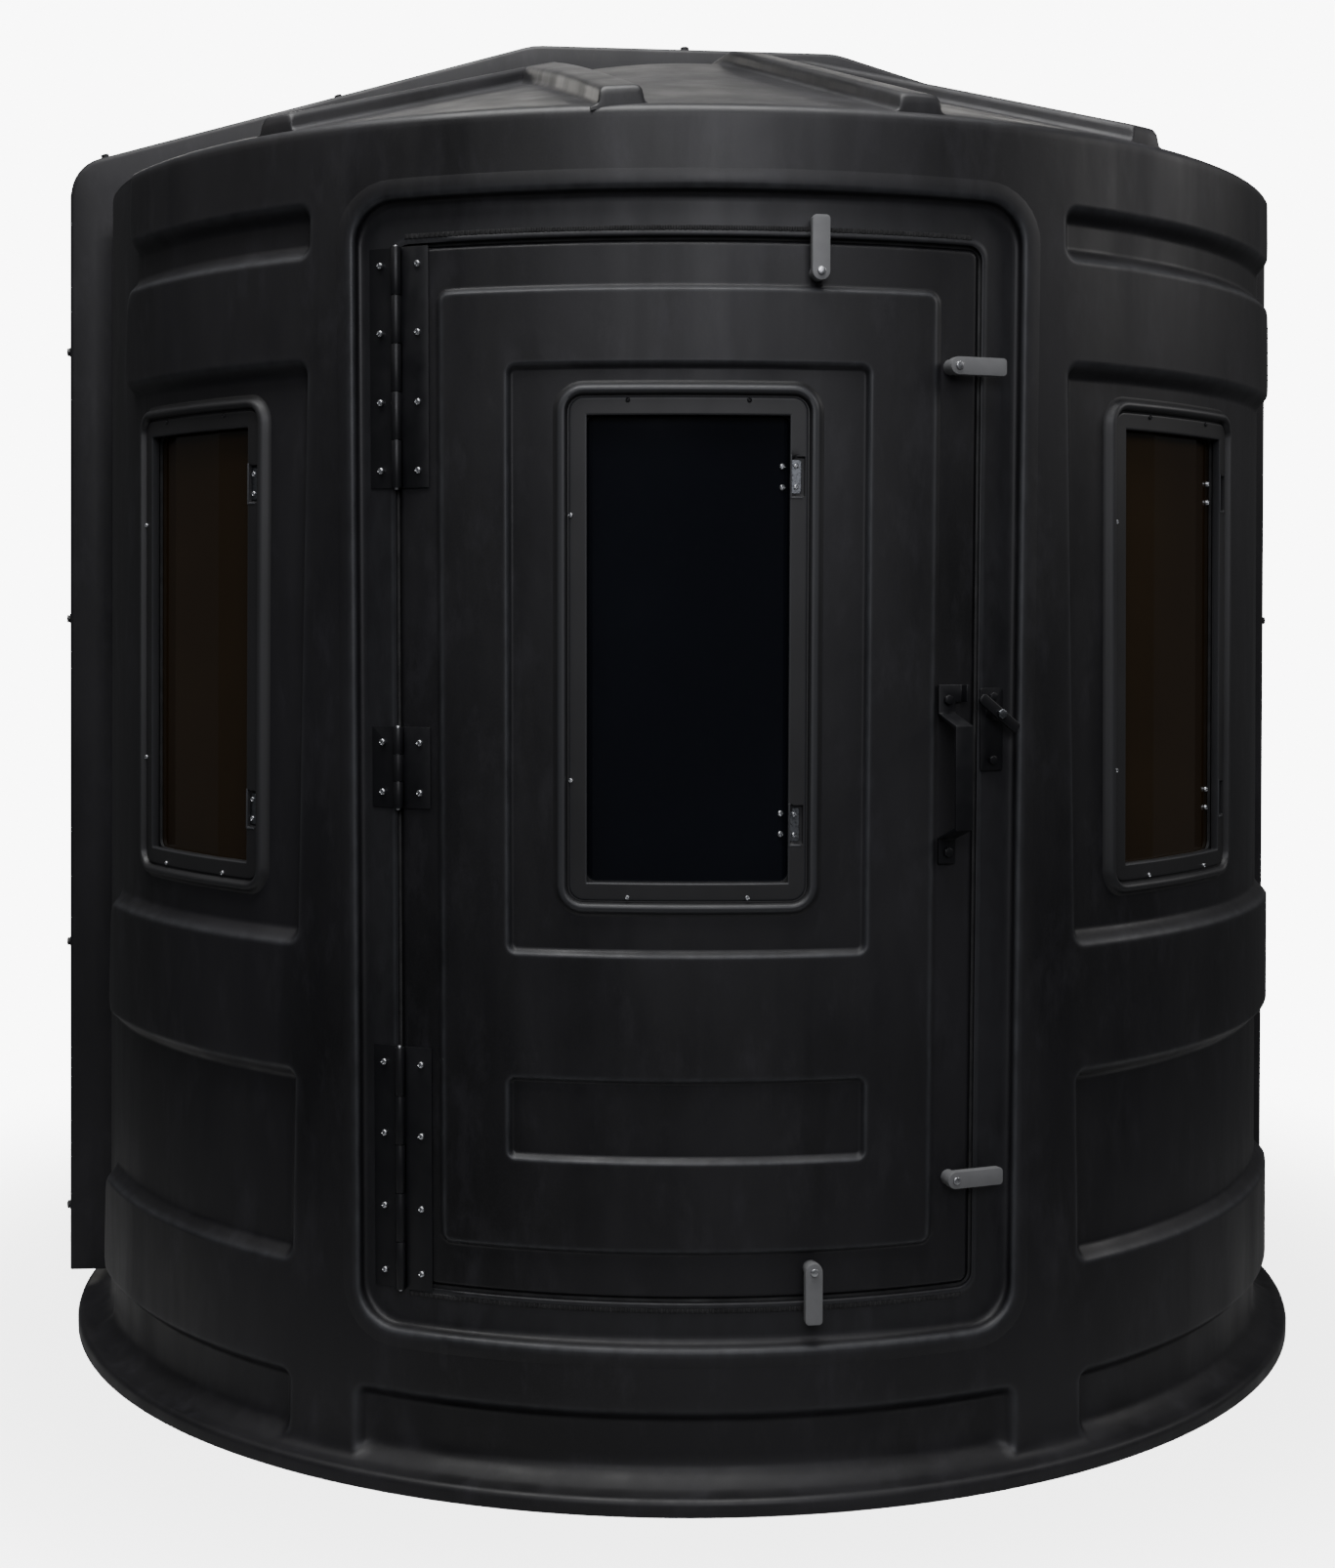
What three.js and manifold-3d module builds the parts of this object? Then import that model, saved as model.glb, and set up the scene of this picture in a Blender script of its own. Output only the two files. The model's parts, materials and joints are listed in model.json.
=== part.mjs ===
// Round hard-shell field blind: two half shells with a ribbed roof, a hinged curved door,
// five inward-opening windows and the door's hardware. Millimetres, +Z up, the door faces -Y.
// Angles are in degrees from the door's centre line (-Y), positive towards +X.
import * as THREE from "three";
import { mergeVertices } from "three/addons/utils/BufferGeometryUtils.js";
import Module from "manifold-3d";

const wasm = await Module();
wasm.setup();

// ---- driving dimensions -------------------------------------------------------------------
const WALL_FOOT_RADIUS = 957.5; // outer radius of the wall at the floor
const WALL_DRAFT = 0.0196; // the wall leans in by this much per unit of height
const WALL_TOP = 1720; // where the wall turns into the eave
const RELIEF = 18; // the raised bands and columns stand this far above the sunk fields
const SKIN = 8; // wall thickness of the moulding under a sunk field
const GAP = 0.35; // clearance between pieces that meet
const CLEAR = 60; // a cut that starts on the wall runs out this far past it
const SEGMENTS = 48; // facets round the wall

const RIM = { radius: 990, top: 22, bevel: 7 }; // base rim
const FLARE = { low: 30, high: 48, out: 8 }; // where the wall runs out into the rim
const EAVE = [905, 1750]; // radius and height where the roof begins
const PLATEAU = [260, 1954]; // radius and height where the roof levels out
const ROOF_TOP = 1962;
const ROOF_FLAT = 120; // radius of the flat middle
const ROOF_SKIN = 10;

const RIB = { width: 56, proud: 22, sunk: 6, ramp: 30, edge: 4 };
const RIBS = [
  [[-36, 912], [-36, 330]],
  [[-5.2, 912], [-33, 400]],
  [[18.4, 912], [18.4, 175]],
  [[41.8, 912], [41.8, 175]],
]; // eave end and inner end of each rib, as angle and distance from the axis

const SEAM = 6; // the seam plane is turned by this angle
const FIN_PROUD = 56; // the bolted seam flange stands this far out of the wall
const FIN_THICKNESS = 14; // of each half's flange
const FIN_FOOT = 46;
const FIN_EAVE = 1842; // height of the flange's shoulder
const FIN_SHOULDER = 62; // radius of that shoulder
const FIN_PEAK = 2034;
const FIN_ROOT = 22; // the flange's foot is sunk this far behind the raised surface

const COLUMN = 33; // half angle of the plain wall round the doorway
const CHANNEL = [-65, 65 + 2 * SEAM]; // where the raised bands stop, equally short of the seam
const CHANNEL_FOOT = 35;
const SKIRT_ANGLE = 26.5; // half angle of the sunk field under the doorway
const SUNK_ROWS = [
  [35, 114],
  [276, 520],
  [701, 1442],
  [1588, 1640],
]; // heights of the sunk fields between the raised bands

const DOOR = { half: 366, low: 262, high: 1585, corner: 12, thickness: 30 };
const DOOR_GAP = 4; // between the door's edge and the gasket
const GASKET = 9;
const LIP = { half: 427, low: 200, high: 1648, corner: 52 }; // sunk doorway field
const FIELD = { half: 313, low: 322, high: 1528, corner: 14, proud: 8 }; // raised door field
const SURROUND = { half: 224, low: 702, high: 1433, corner: 10 }; // sunk field round the window
const NAME_FIELD = { half: 224, low: 440, high: 540, corner: 8 }; // plain sunk field below it

const WINDOW = { half: 126, low: 792, high: 1372, corner: 12 };
const BEZEL = { half: 162, low: 755, high: 1408, corner: 32, width: 12, proud: 10 };
const PANE_LAP = 14; // the pane laps behind its opening by this much
const PANE = 6;
const SEAL = 4;
const SIDE_WINDOW = 47.5; // angle of each side window
const WINDOW_HINGES = [864, 1297];

const HINGE_X = -369; // the door's hinge line leans back with the wall in this plane
const KNUCKLE = 6.5; // outer radius of a hinge knuckle
const PIN = 3;
const HINGES = { lower: [253, 570, 5], middle: [878, 982, 3], upper: [1285, 1587, 5] };

const PALETTE = {
  shell: [0x1b1c1f, 0.5, 0],
  floor: [0x2a2a2c, 0.8, 0],
  rubber: [0x121214, 0.8, 0],
  steel: [0x0e0e10, 0.4, 0.6],
  zinc: [0xb9bcc0, 0.35, 1],
  glass: [0x0a0d12, 0.08, 0],
  grip: [0x77797c, 0.55, 0],
};

const PLAIN = { bevelEnabled: false, curveSegments: 2 };

// ---- solids ---------------------------------------------------------------------------------
const rad = THREE.MathUtils.degToRad;

function toSolid(geometry) {
  const bare = geometry.clone();
  bare.deleteAttribute("normal");
  bare.deleteAttribute("uv");
  const merged = mergeVertices(bare, 1e-3);
  const vertProperties = new Float32Array(merged.attributes.position.array);
  const triVerts = new Uint32Array(merged.index.array);
  const whole = [];
  for (let i = 0; i < triVerts.length; i += 3) {
    const [a, b, c] = triVerts.subarray(i, i + 3);
    if (a !== b && b !== c && c !== a) whole.push(a, b, c);
  }
  const made = new wasm.Manifold(
    new wasm.Mesh({ numProp: 3, vertProperties, triVerts: new Uint32Array(whole) }),
  );
  if (made.volume() > 0) return made;
  for (let i = 0; i < whole.length; i += 3) {
    [whole[i + 1], whole[i + 2]] = [whole[i + 2], whole[i + 1]];
  }
  return new wasm.Manifold(
    new wasm.Mesh({ numProp: 3, vertProperties, triVerts: new Uint32Array(whole) }),
  );
}

function toGeometry(solid) {
  const mesh = solid.getMesh();
  const geometry = new THREE.BufferGeometry();
  geometry.setAttribute("position", new THREE.BufferAttribute(mesh.vertProperties, 3));
  geometry.setIndex(new THREE.BufferAttribute(mesh.triVerts, 1));
  return geometry;
}

const wallRadius = (z) => WALL_FOOT_RADIUS - WALL_DRAFT * z;

// A body of revolution about Z from a closed loop of [radius, height] points.
function revolve(points, segments = SEGMENTS) {
  const loop = [...points, points[0]].map(([r, z]) => new THREE.Vector2(r, z));
  return toSolid(new THREE.LatheGeometry(loop, segments).rotateX(Math.PI / 2));
}

// A ring that follows the wall's draft; inner and outer are offsets from the wall's surface.
function wallRing(inner, outer, low, high) {
  return revolve([
    [wallRadius(low) + inner, low],
    [wallRadius(low) + outer, low],
    [wallRadius(high) + outer, high],
    [wallRadius(high) + inner, high],
  ]);
}

// A vertical prism over the plan between two angles.
function wedge(from, to, low, high) {
  const reach = 1500;
  const shape = new THREE.Shape();
  shape.moveTo(0, 0);
  for (let i = 0; i <= 4; i++) {
    const angle = rad(from + ((to - from) * i) / 4);
    shape.lineTo(reach * Math.sin(angle), -reach * Math.cos(angle));
  }
  shape.closePath();
  const geometry = new THREE.ExtrudeGeometry(shape, { depth: high - low, bevelEnabled: false });
  return toSolid(geometry.translate(0, 0, low));
}

function roundedRectangle(left, right, low, high, corner) {
  const shape = new THREE.Shape();
  shape.moveTo(left + corner, low);
  shape.lineTo(right - corner, low);
  shape.absarc(right - corner, low + corner, corner, -Math.PI / 2, 0);
  shape.lineTo(right, high - corner);
  shape.absarc(right - corner, high - corner, corner, 0, Math.PI / 2);
  shape.lineTo(left + corner, high);
  shape.absarc(left + corner, high - corner, corner, Math.PI / 2, Math.PI);
  shape.lineTo(left, low + corner);
  shape.absarc(left + corner, low + corner, corner, Math.PI, 1.5 * Math.PI);
  return shape;
}

// Axes on the wall at one angle: across (tangent), up, and out from the wall.
function facing(angle) {
  const across = new THREE.Vector3(Math.cos(rad(angle)), Math.sin(rad(angle)), 0);
  const out = new THREE.Vector3(Math.sin(rad(angle)), -Math.cos(rad(angle)), 0);
  return new THREE.Matrix4().makeBasis(across, new THREE.Vector3(0, 0, 1), out);
}

// The same axes on the wall's surface, leaning with its draft.
function onWall(angle, height, offset) {
  const frame = facing(angle);
  const lean = new THREE.Matrix4().makeRotationX(-Math.atan(WALL_DRAFT));
  const spot = new THREE.Vector3(0, height, wallRadius(height) + offset).applyMatrix4(frame);
  return frame.clone().multiply(lean).setPosition(spot);
}

// A prism that crosses the wall at one angle, with a rounded rectangle for its section.
function opening({ half, low, high, corner }, angle = 0, grow = 0) {
  const shape = roundedRectangle(-half - grow, half + grow, low - grow, high + grow, corner + grow);
  const depth = 700;
  const geometry = new THREE.ExtrudeGeometry(shape, {
    depth,
    bevelEnabled: false,
    curveSegments: 3,
  });
  return toSolid(geometry.translate(0, 0, 500).applyMatrix4(facing(angle)));
}

// A curved plate on the wall: offsets inner to outer, cut to the outline at an angle.
function plate(outline, inner, outer, angle = 0, grow = 0) {
  const margin = grow + 40;
  const ring = wallRing(inner, outer, outline.low - margin, outline.high + margin);
  return ring.intersect(opening(outline, angle, grow));
}

// A curved frame: the plate of one outline grown by outerGrow, open inside innerGrow.
function frame(outline, inner, outer, angle, innerGrow, outerGrow) {
  return plate(outline, inner, outer, angle, outerGrow).subtract(
    opening(outline, angle, innerGrow),
  );
}

function placed(geometry, matrix) {
  return toSolid(geometry.clone().applyMatrix4(matrix));
}

// ---- the half shell -------------------------------------------------------------------------
const JAMB = -RELIEF; // surface of the sunk fields, as an offset from the raised surface
const INSIDE = JAMB - SKIN; // inner face of the wall

function shellOfRevolution() {
  const top = wallRadius(WALL_TOP);
  return revolve([
    [RIM.radius, 0],
    [RIM.radius, RIM.top - RIM.bevel],
    [RIM.radius - RIM.bevel, RIM.top],
    [wallRadius(FLARE.low) + FLARE.out, FLARE.low],
    [wallRadius(FLARE.high), FLARE.high],
    [top, WALL_TOP],
    [top - 6, WALL_TOP + 20],
    EAVE,
    PLATEAU,
    [ROOF_FLAT, ROOF_TOP],
    [0, ROOF_TOP],
    [0, ROOF_TOP - ROOF_SKIN],
    [ROOF_FLAT - 2, ROOF_TOP - ROOF_SKIN],
    [PLATEAU[0] - 3, PLATEAU[1] - ROOF_SKIN],
    [top + INSIDE, WALL_TOP + 10],
    [wallRadius(0) + INSIDE, 0],
  ]);
}

// Height of the roof's outer surface at a distance from the axis.
function roofHeight(r) {
  if (r < ROOF_FLAT) return ROOF_TOP;
  const [inner, outer] = r < PLATEAU[0] ? [[ROOF_FLAT, ROOF_TOP], PLATEAU] : [PLATEAU, EAVE];
  const share = (r - inner[0]) / (outer[0] - inner[0]);
  return inner[1] + share * (outer[1] - inner[1]);
}

// One straight roof rib between two plan points, each [angle, distance from the axis]. It has a
// square end over the eave and a short ramp at its inner end.
function roofRib(foot, head) {
  const spot = ([angle, r]) =>
    new THREE.Vector2(r * Math.sin(rad(angle)), -r * Math.cos(rad(angle)));
  const start = spot(foot);
  const along = spot(head).sub(start);
  const length = along.length();
  along.normalize();
  const surface = (s) => roofHeight(start.clone().addScaledVector(along, s).length());
  const stations = [20, 150, 300, 450, length - RIB.ramp].filter((s) => s <= length - RIB.ramp);
  const side = new THREE.Shape();
  side.moveTo(0, surface(0) - RIB.sunk);
  side.lineTo(0, surface(0) + RIB.proud - RIB.edge);
  const ceiling = PLATEAU[1] + RIB.proud / 2;
  for (const s of stations) side.lineTo(s, Math.min(surface(s) + RIB.proud, ceiling));
  side.lineTo(length, surface(length) - 3);
  for (const s of stations.toReversed()) side.lineTo(s, surface(s) - RIB.sunk);
  side.closePath();
  const profile = new THREE.ExtrudeGeometry(side, { depth: RIB.width, bevelEnabled: false });
  profile.translate(0, 0, -RIB.width / 2);
  const inward = new THREE.Vector3(along.x, along.y, 0);
  const up = new THREE.Vector3(0, 0, 1);
  const basis = new THREE.Matrix4().makeBasis(inward, up, inward.clone().cross(up));
  return placed(profile, basis.setPosition(start.x, start.y, 0));
}

// The arch-shaped flange that the two halves are bolted through.
function seamFin() {
  const outer = (z) => wallRadius(z) + FIN_PROUD;
  const inner = (z) => wallRadius(z) - FIN_ROOT;
  const bend = FIN_SHOULDER * (1 - Math.SQRT1_2); // how far the shoulder's middle is cut back
  const edge = [
    [outer(FIN_FOOT), FIN_FOOT],
    [outer(FIN_EAVE - FIN_SHOULDER), FIN_EAVE - FIN_SHOULDER],
    [outer(FIN_EAVE) - bend, FIN_EAVE - bend],
    [outer(FIN_EAVE) - FIN_SHOULDER, FIN_EAVE],
    [PLATEAU[0], FIN_PEAK - 4],
    [PLATEAU[0] - 24, FIN_PEAK],
  ];
  const back = [
    [PLATEAU[0] - 10, PLATEAU[1] - 5],
    [EAVE[0] - 6, EAVE[1] - 5],
    [inner(WALL_TOP), WALL_TOP],
    [inner(FIN_FOOT), FIN_FOOT],
  ];
  const mirrored = (points) => points.toReversed().map(([r, z]) => [-r, z]);
  const points = [...edge, ...mirrored(edge), ...mirrored(back), ...back];
  const shape = new THREE.Shape(points.map(([r, z]) => new THREE.Vector2(r, z)));
  const geometry = new THREE.ExtrudeGeometry(shape, { depth: FIN_THICKNESS, ...PLAIN });
  return placed(geometry.translate(0, 0, GAP / 2), facing(SEAM));
}

// The cuts that leave the raised bands and columns standing. The fields between the bands run a
// little way into the channels beside the seam.
function sunkFields() {
  const cut = (from, to, low, high) =>
    wallRing(JAMB, CLEAR, low, high).intersect(wedge(from, to, low, high));
  const overlap = 1;
  const fields = [
    cut(SEAM - 100, CHANNEL[0], CHANNEL_FOOT, WALL_TOP + 60),
    cut(CHANNEL[1], SEAM + 100, CHANNEL_FOOT, WALL_TOP + 60),
    cut(-SKIRT_ANGLE, SKIRT_ANGLE, ...SUNK_ROWS[0]),
  ];
  for (const [low, high] of SUNK_ROWS) {
    fields.push(cut(CHANNEL[0] - overlap, -COLUMN, low, high));
    fields.push(cut(COLUMN, CHANNEL[1] + overlap, low, high));
  }
  return fields;
}

// The front half in its own place; the rear half is the same moulding without the doorway,
// turned by half a turn.
function halfShell(withDoorway) {
  const sunk = sunkFields().reduce((all, field) => all.add(field));
  let shell = shellOfRevolution().subtract(sunk);
  for (const angle of [-SIDE_WINDOW, SIDE_WINDOW]) {
    shell = shell.add(
      frame(BEZEL, JAMB - 2, JAMB + BEZEL.proud, angle, -BEZEL.width, 0),
    );
    shell = shell.subtract(opening(WINDOW, angle));
  }
  for (const [foot, head] of RIBS) shell = shell.add(roofRib(foot, head));
  if (withDoorway) shell = cutDoorway(shell);

  const frontSide = placed(
    new THREE.BoxGeometry(2400, 2400, 1200).translate(0, 1200, 600 + GAP / 2),
    facing(SEAM),
  );
  return shell.intersect(frontSide).add(seamFin());
}

function cutDoorway(shell) {
  const doorway = DOOR_GAP + GASKET + GAP;
  const returnFlange = frame(DOOR, INSIDE - 30, JAMB - 2, 0, doorway, doorway + 12);
  return shell
    .subtract(plate(LIP, JAMB, CLEAR))
    .add(returnFlange)
    .subtract(opening(DOOR, 0, doorway));
}

// ---- the door -------------------------------------------------------------------------------
function doorPanel() {
  const back = JAMB - DOOR.thickness;
  return plate(DOOR, back, JAMB)
    .add(plate(FIELD, JAMB - 2, JAMB + FIELD.proud))
    .subtract(plate(SURROUND, JAMB, CLEAR))
    .subtract(plate(NAME_FIELD, JAMB, CLEAR))
    .add(frame(BEZEL, JAMB - 2, JAMB + BEZEL.proud, 0, -BEZEL.width, 0))
    .subtract(windowPocket(back))
    .subtract(opening(WINDOW));
}

// Room behind the door's outer skin for its window, open to the inside.
function windowPocket(back) {
  const { half, low, high } = WINDOW;
  const outline = { half: half + 50, low: low - 20, high: high + 20, corner: 8 };
  return plate(outline, back - 20, INSIDE);
}

function gasket() {
  return frame(DOOR, INSIDE - 18, JAMB - 1, 0, DOOR_GAP, DOOR_GAP + GASKET);
}

// ---- windows --------------------------------------------------------------------------------
const PANE_FRONT = INSIDE - SEAL - 3 * GAP;

const windowSeal = (angle) =>
  frame(WINDOW, INSIDE - SEAL - GAP, INSIDE - GAP, angle, 1, PANE_LAP - 2);
const windowPane = (angle) => plate(WINDOW, PANE_FRONT - PANE, PANE_FRONT, angle, PANE_LAP);

// A small block on the wall's inner face beside the pane, that carries the window's hinge pin.
function windowHinge(angle, height) {
  const left = WINDOW.half + PANE_LAP + 11;
  const shape = roundedRectangle(left, left + 20, height - 24, height + 24, 3);
  const geometry = new THREE.ExtrudeGeometry(shape, { depth: 400, ...PLAIN });
  const prism = placed(geometry.translate(0, 0, 700), facing(angle));
  const ring = wallRing(INSIDE - 16, INSIDE - GAP, height - 60, height + 60);
  return ring.intersect(prism);
}

// A finger catch on the pane's inner face, at the edge away from the hinges.
function windowCatch(angle) {
  const middle = (WINDOW.low + WINDOW.high) / 2;
  const left = -WINDOW.half + 4;
  const shape = roundedRectangle(left, left + 22, middle - 30, middle + 30, 6);
  const geometry = new THREE.ExtrudeGeometry(shape, { depth: 400, ...PLAIN });
  const prism = placed(geometry.translate(0, 0, 700), facing(angle));
  const back = PANE_FRONT - PANE;
  return wallRing(back - 18, back - GAP, middle - 60, middle + 60).intersect(prism);
}

// ---- door hinges ----------------------------------------------------------------------------
const KNUCKLE_OUT = JAMB + KNUCKLE + 1.2; // the pin's line stands this far out

const STRAP_X = HINGE_X * (1 - (KNUCKLE + 1.2) / wallRadius(900)); // under the pin on the wall

function hingePoint(z) {
  const r = wallRadius(z) + KNUCKLE_OUT;
  return new THREE.Vector3(HINGE_X, -Math.sqrt(r * r - HINGE_X * HINGE_X), z);
}

const hingeFoot = hingePoint(HINGES.lower[0]);
const hingeUp = hingePoint(HINGES.upper[1]).sub(hingeFoot).normalize();

// A tube or rod about the hinge line between two heights.
function onHingeLine(radius, low, high) {
  const rod = new THREE.CylinderGeometry(radius, radius, high - low, 12);
  rod.translate(0, (low + high) / 2 - hingeFoot.z, 0);
  const across = new THREE.Vector3(1, 0, 0);
  const basis = new THREE.Matrix4().makeBasis(across, hingeUp, across.clone().cross(hingeUp));
  return placed(rod, basis.setPosition(hingeFoot));
}

// One leaf: a curved strap on one side of the hinge line, with its share of the knuckles.
function hingeLeaf([low, high, knuckles], side) {
  const near = STRAP_X + side * 1.2;
  const far = STRAP_X + side * 39;
  const [left, right] = side < 0 ? [far, near] : [near, far];
  const shape = roundedRectangle(left, right, low, high, 1);
  const strap = new THREE.ExtrudeGeometry(shape, { depth: 700, ...PLAIN });
  const prism = placed(strap.translate(0, 0, 500), facing(0));
  let leaf = wallRing(JAMB + GAP, JAMB + GAP + 3, low - 20, high + 20).intersect(prism);
  const pitch = (high - low) / knuckles;
  const own = side < 0 ? 0 : 1;
  for (let i = 0; i < knuckles; i++) {
    const [foot, head] = [low + i * pitch, low + (i + 1) * pitch];
    if (i % 2 === own) leaf = leaf.add(onHingeLine(KNUCKLE, foot + 0.5, head - 0.5));
    else leaf = leaf.subtract(onHingeLine(KNUCKLE + 1.5, foot - 0.5, head + 0.5));
  }
  return leaf.subtract(onHingeLine(PIN + 0.4, low - 5, high + 5));
}

const hingePin = ([low, high]) => onHingeLine(PIN, low - 2, high + 2);

// ---- handles and latch ----------------------------------------------------------------------
// Turn handle: a round boss on the door with an arm that lies over the jamb.
const TURN = { reach: 68, width: 22, boss: 12, arm: 12, corner: 5, bossRadius: 9 };

function turnHandle() {
  const { reach, width, boss, arm, corner, bossRadius } = TURN;
  const radius = width / 2;
  const shape = new THREE.Shape();
  shape.moveTo(0, -radius);
  shape.lineTo(reach - corner, -radius);
  shape.absarc(reach - corner, -radius + corner, corner, -Math.PI / 2, 0);
  shape.lineTo(reach, radius - corner);
  shape.absarc(reach - corner, radius - corner, corner, 0, Math.PI / 2);
  shape.lineTo(0, radius);
  shape.absarc(0, 0, radius, Math.PI / 2, 1.5 * Math.PI);
  const bar = new THREE.ExtrudeGeometry(shape, {
    depth: arm,
    bevelEnabled: false,
    curveSegments: 6,
  });
  const length = boss + 1; // the boss runs on into the arm
  const foot = new THREE.CylinderGeometry(bossRadius, bossRadius + 1, length, 16);
  foot.rotateX(Math.PI / 2).translate(0, 0, length / 2);
  return toSolid(bar.translate(0, 0, boss)).add(toSolid(foot));
}

const HANDLES = {
  top: { angle: 10, height: 1546, turn: 90 },
  right_upper: { angle: 21.2, height: 1437, turn: 0 },
  right_lower: { angle: 21.2, height: 404, turn: 0 },
  bottom: { angle: 9.7, height: 300, turn: -90 },
};

// Bent strap: plate, standing grip, plate, in one profile of [height, out] points.
const GRIP = { angle: 20.9, width: 24, low: 810, high: 1038, thick: 4, out: 46, bend: 17 };
const GRIP_EAR = { across: 12, tall: 22, reach: 18 };
const GRIP_FEET = [843, 1000]; // where the strap leaves its lower and upper plates

function pullHandle() {
  const { low, high, thick, out, bend } = GRIP;
  const [from, to] = GRIP_FEET;
  const middle = (low + high) / 2;
  const outline = [
    [low, 0],
    [from, 0],
    [from + bend, out],
    [to - bend, out],
    [to, 0],
    [high, 0],
    [high, thick],
    [to + thick / 2, thick],
    [to - bend + thick, out + thick],
    [from + bend - thick, out + thick],
    [from - thick / 2, thick],
    [low, thick],
  ];
  const shape = new THREE.Shape();
  shape.setFromPoints(outline.map(([z, depth]) => new THREE.Vector2(depth, z - middle)));
  shape.closePath();
  const geometry = new THREE.ExtrudeGeometry(shape, { depth: GRIP.width, bevelEnabled: false });
  // the profile's x is out from the door and its y is up, and its depth runs across
  geometry.translate(0, 0, -GRIP.width / 2).rotateY(-Math.PI / 2);

  // the upper foot has a wing on the latch side, with its edge turned out
  const { across, tall, reach } = GRIP_EAR;
  const height = high - tall / 2 - middle;
  const overlap = 1;
  const wing = new THREE.BoxGeometry(across + overlap, tall, thick);
  wing.translate((GRIP.width + across - overlap) / 2, height, thick / 2);
  const ear = new THREE.BoxGeometry(thick, tall, reach);
  ear.translate(GRIP.width / 2 + across - thick / 2, height, reach / 2);
  return toSolid(geometry).add(toSolid(wing)).add(toSolid(ear));
}

function hexBolt(across, height) {
  return new THREE.CylinderGeometry(across / 2, across / 2, height, 6).rotateX(Math.PI / 2);
}

const KEEPER = { angle: 25, low: 927, high: 1033, width: 34, boss: 17, plate: 3, bossRadius: 9 };
const LEVER = { angle: 25, height: 1001, tilt: -37, back: 36, front: 34, width: 14, thick: 5 };
const KEEPER_OUT = JAMB + 0.6; // the flat plate clears the curved jamb by this much

function keeperPlate() {
  const middle = (KEEPER.low + KEEPER.high) / 2;
  const half = (KEEPER.high - KEEPER.low) / 2;
  const shape = roundedRectangle(-KEEPER.width / 2, KEEPER.width / 2, -half, half, 3);
  const base = new THREE.ExtrudeGeometry(shape, { depth: KEEPER.plate, ...PLAIN });
  const { boss: length, bossRadius } = KEEPER;
  const boss = new THREE.CylinderGeometry(bossRadius, bossRadius, length, 16).rotateX(Math.PI / 2);
  boss.translate(0, LEVER.height - middle, length / 2 + KEEPER.plate - 1);
  return toSolid(base).add(toSolid(boss));
}

function latchLever() {
  const half = LEVER.width / 2;
  const shape = roundedRectangle(-LEVER.back, LEVER.front, -half, half, 5);
  const geometry = new THREE.ExtrudeGeometry(shape, { depth: LEVER.thick, ...PLAIN });
  return toSolid(geometry.rotateZ(rad(LEVER.tilt)));
}

// ---- assembly -------------------------------------------------------------------------------
const group = new THREE.Group();
group.name = "field_blind";

function addNode(name, solid, look, matrix) {
  const [color, roughness, metalness] = PALETTE[look];
  const material = new THREE.MeshStandardMaterial({ color, roughness, metalness });
  if (look === "glass") {
    material.transparent = true;
    material.opacity = 0.6;
  }
  const geometry = solid.isBufferGeometry ? solid : toGeometry(solid);
  const mesh = new THREE.Mesh(geometry, material);
  mesh.name = name;
  if (matrix) mesh.applyMatrix4(matrix);
  group.add(mesh);
}

const halfTurn = new THREE.Matrix4().makeRotationZ(Math.PI);
addNode("front_shell", halfShell(true), "shell");
addNode("rear_shell", halfShell(false), "shell", halfTurn);

const FLOOR = { thick: 18, margin: 4 };
const floorRadius = wallRadius(0) + INSIDE - FLOOR.margin;
const floor = new THREE.CylinderGeometry(floorRadius, floorRadius, FLOOR.thick, SEGMENTS);
addNode("floor_panel", floor.rotateX(Math.PI / 2).translate(0, 0, FLOOR.thick / 2), "floor");

addNode("door_panel", doorPanel(), "shell");
addNode("door_gasket", gasket(), "rubber");

for (const [place, size] of Object.entries(HINGES)) {
  addNode(`door_hinge_${place}_frame_leaf`, hingeLeaf(size, -1), "steel");
  addNode(`door_hinge_${place}_door_leaf`, hingeLeaf(size, 1), "steel");
  addNode(`door_hinge_${place}_pin`, hingePin(size), "zinc");
}

const SCREW = { radius: 5, height: 3 };
for (const [place, { angle, height, turn }] of Object.entries(HANDLES)) {
  const seat = onWall(angle, height, JAMB + GAP);
  const spin = new THREE.Matrix4().makeRotationZ(rad(turn));
  addNode(`turn_handle_${place}`, turnHandle(), "grip", seat.clone().multiply(spin));
  const { radius, height: tall } = SCREW;
  const screw = new THREE.CylinderGeometry(radius, radius, tall, 12).rotateX(Math.PI / 2);
  screw.translate(0, 0, TURN.boss + TURN.arm + GAP + tall / 2);
  addNode(`turn_handle_${place}_screw`, screw, "zinc", seat);
}

const BOLT = 6; // height of a bolt's head, whose middle is its own origin
const gripOut = JAMB + 1.5;
const gripSeat = onWall(GRIP.angle, (GRIP.low + GRIP.high) / 2, gripOut);
addNode("pull_handle", pullHandle(), "steel", gripSeat);
for (const [place, height] of Object.entries({ upper: 1019, lower: 825 })) {
  const seat = onWall(GRIP.angle, height, gripOut + GRIP.thick + GAP + BOLT / 2);
  addNode(`pull_handle_bolt_${place}`, hexBolt(13, BOLT), "steel", seat);
}

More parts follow.
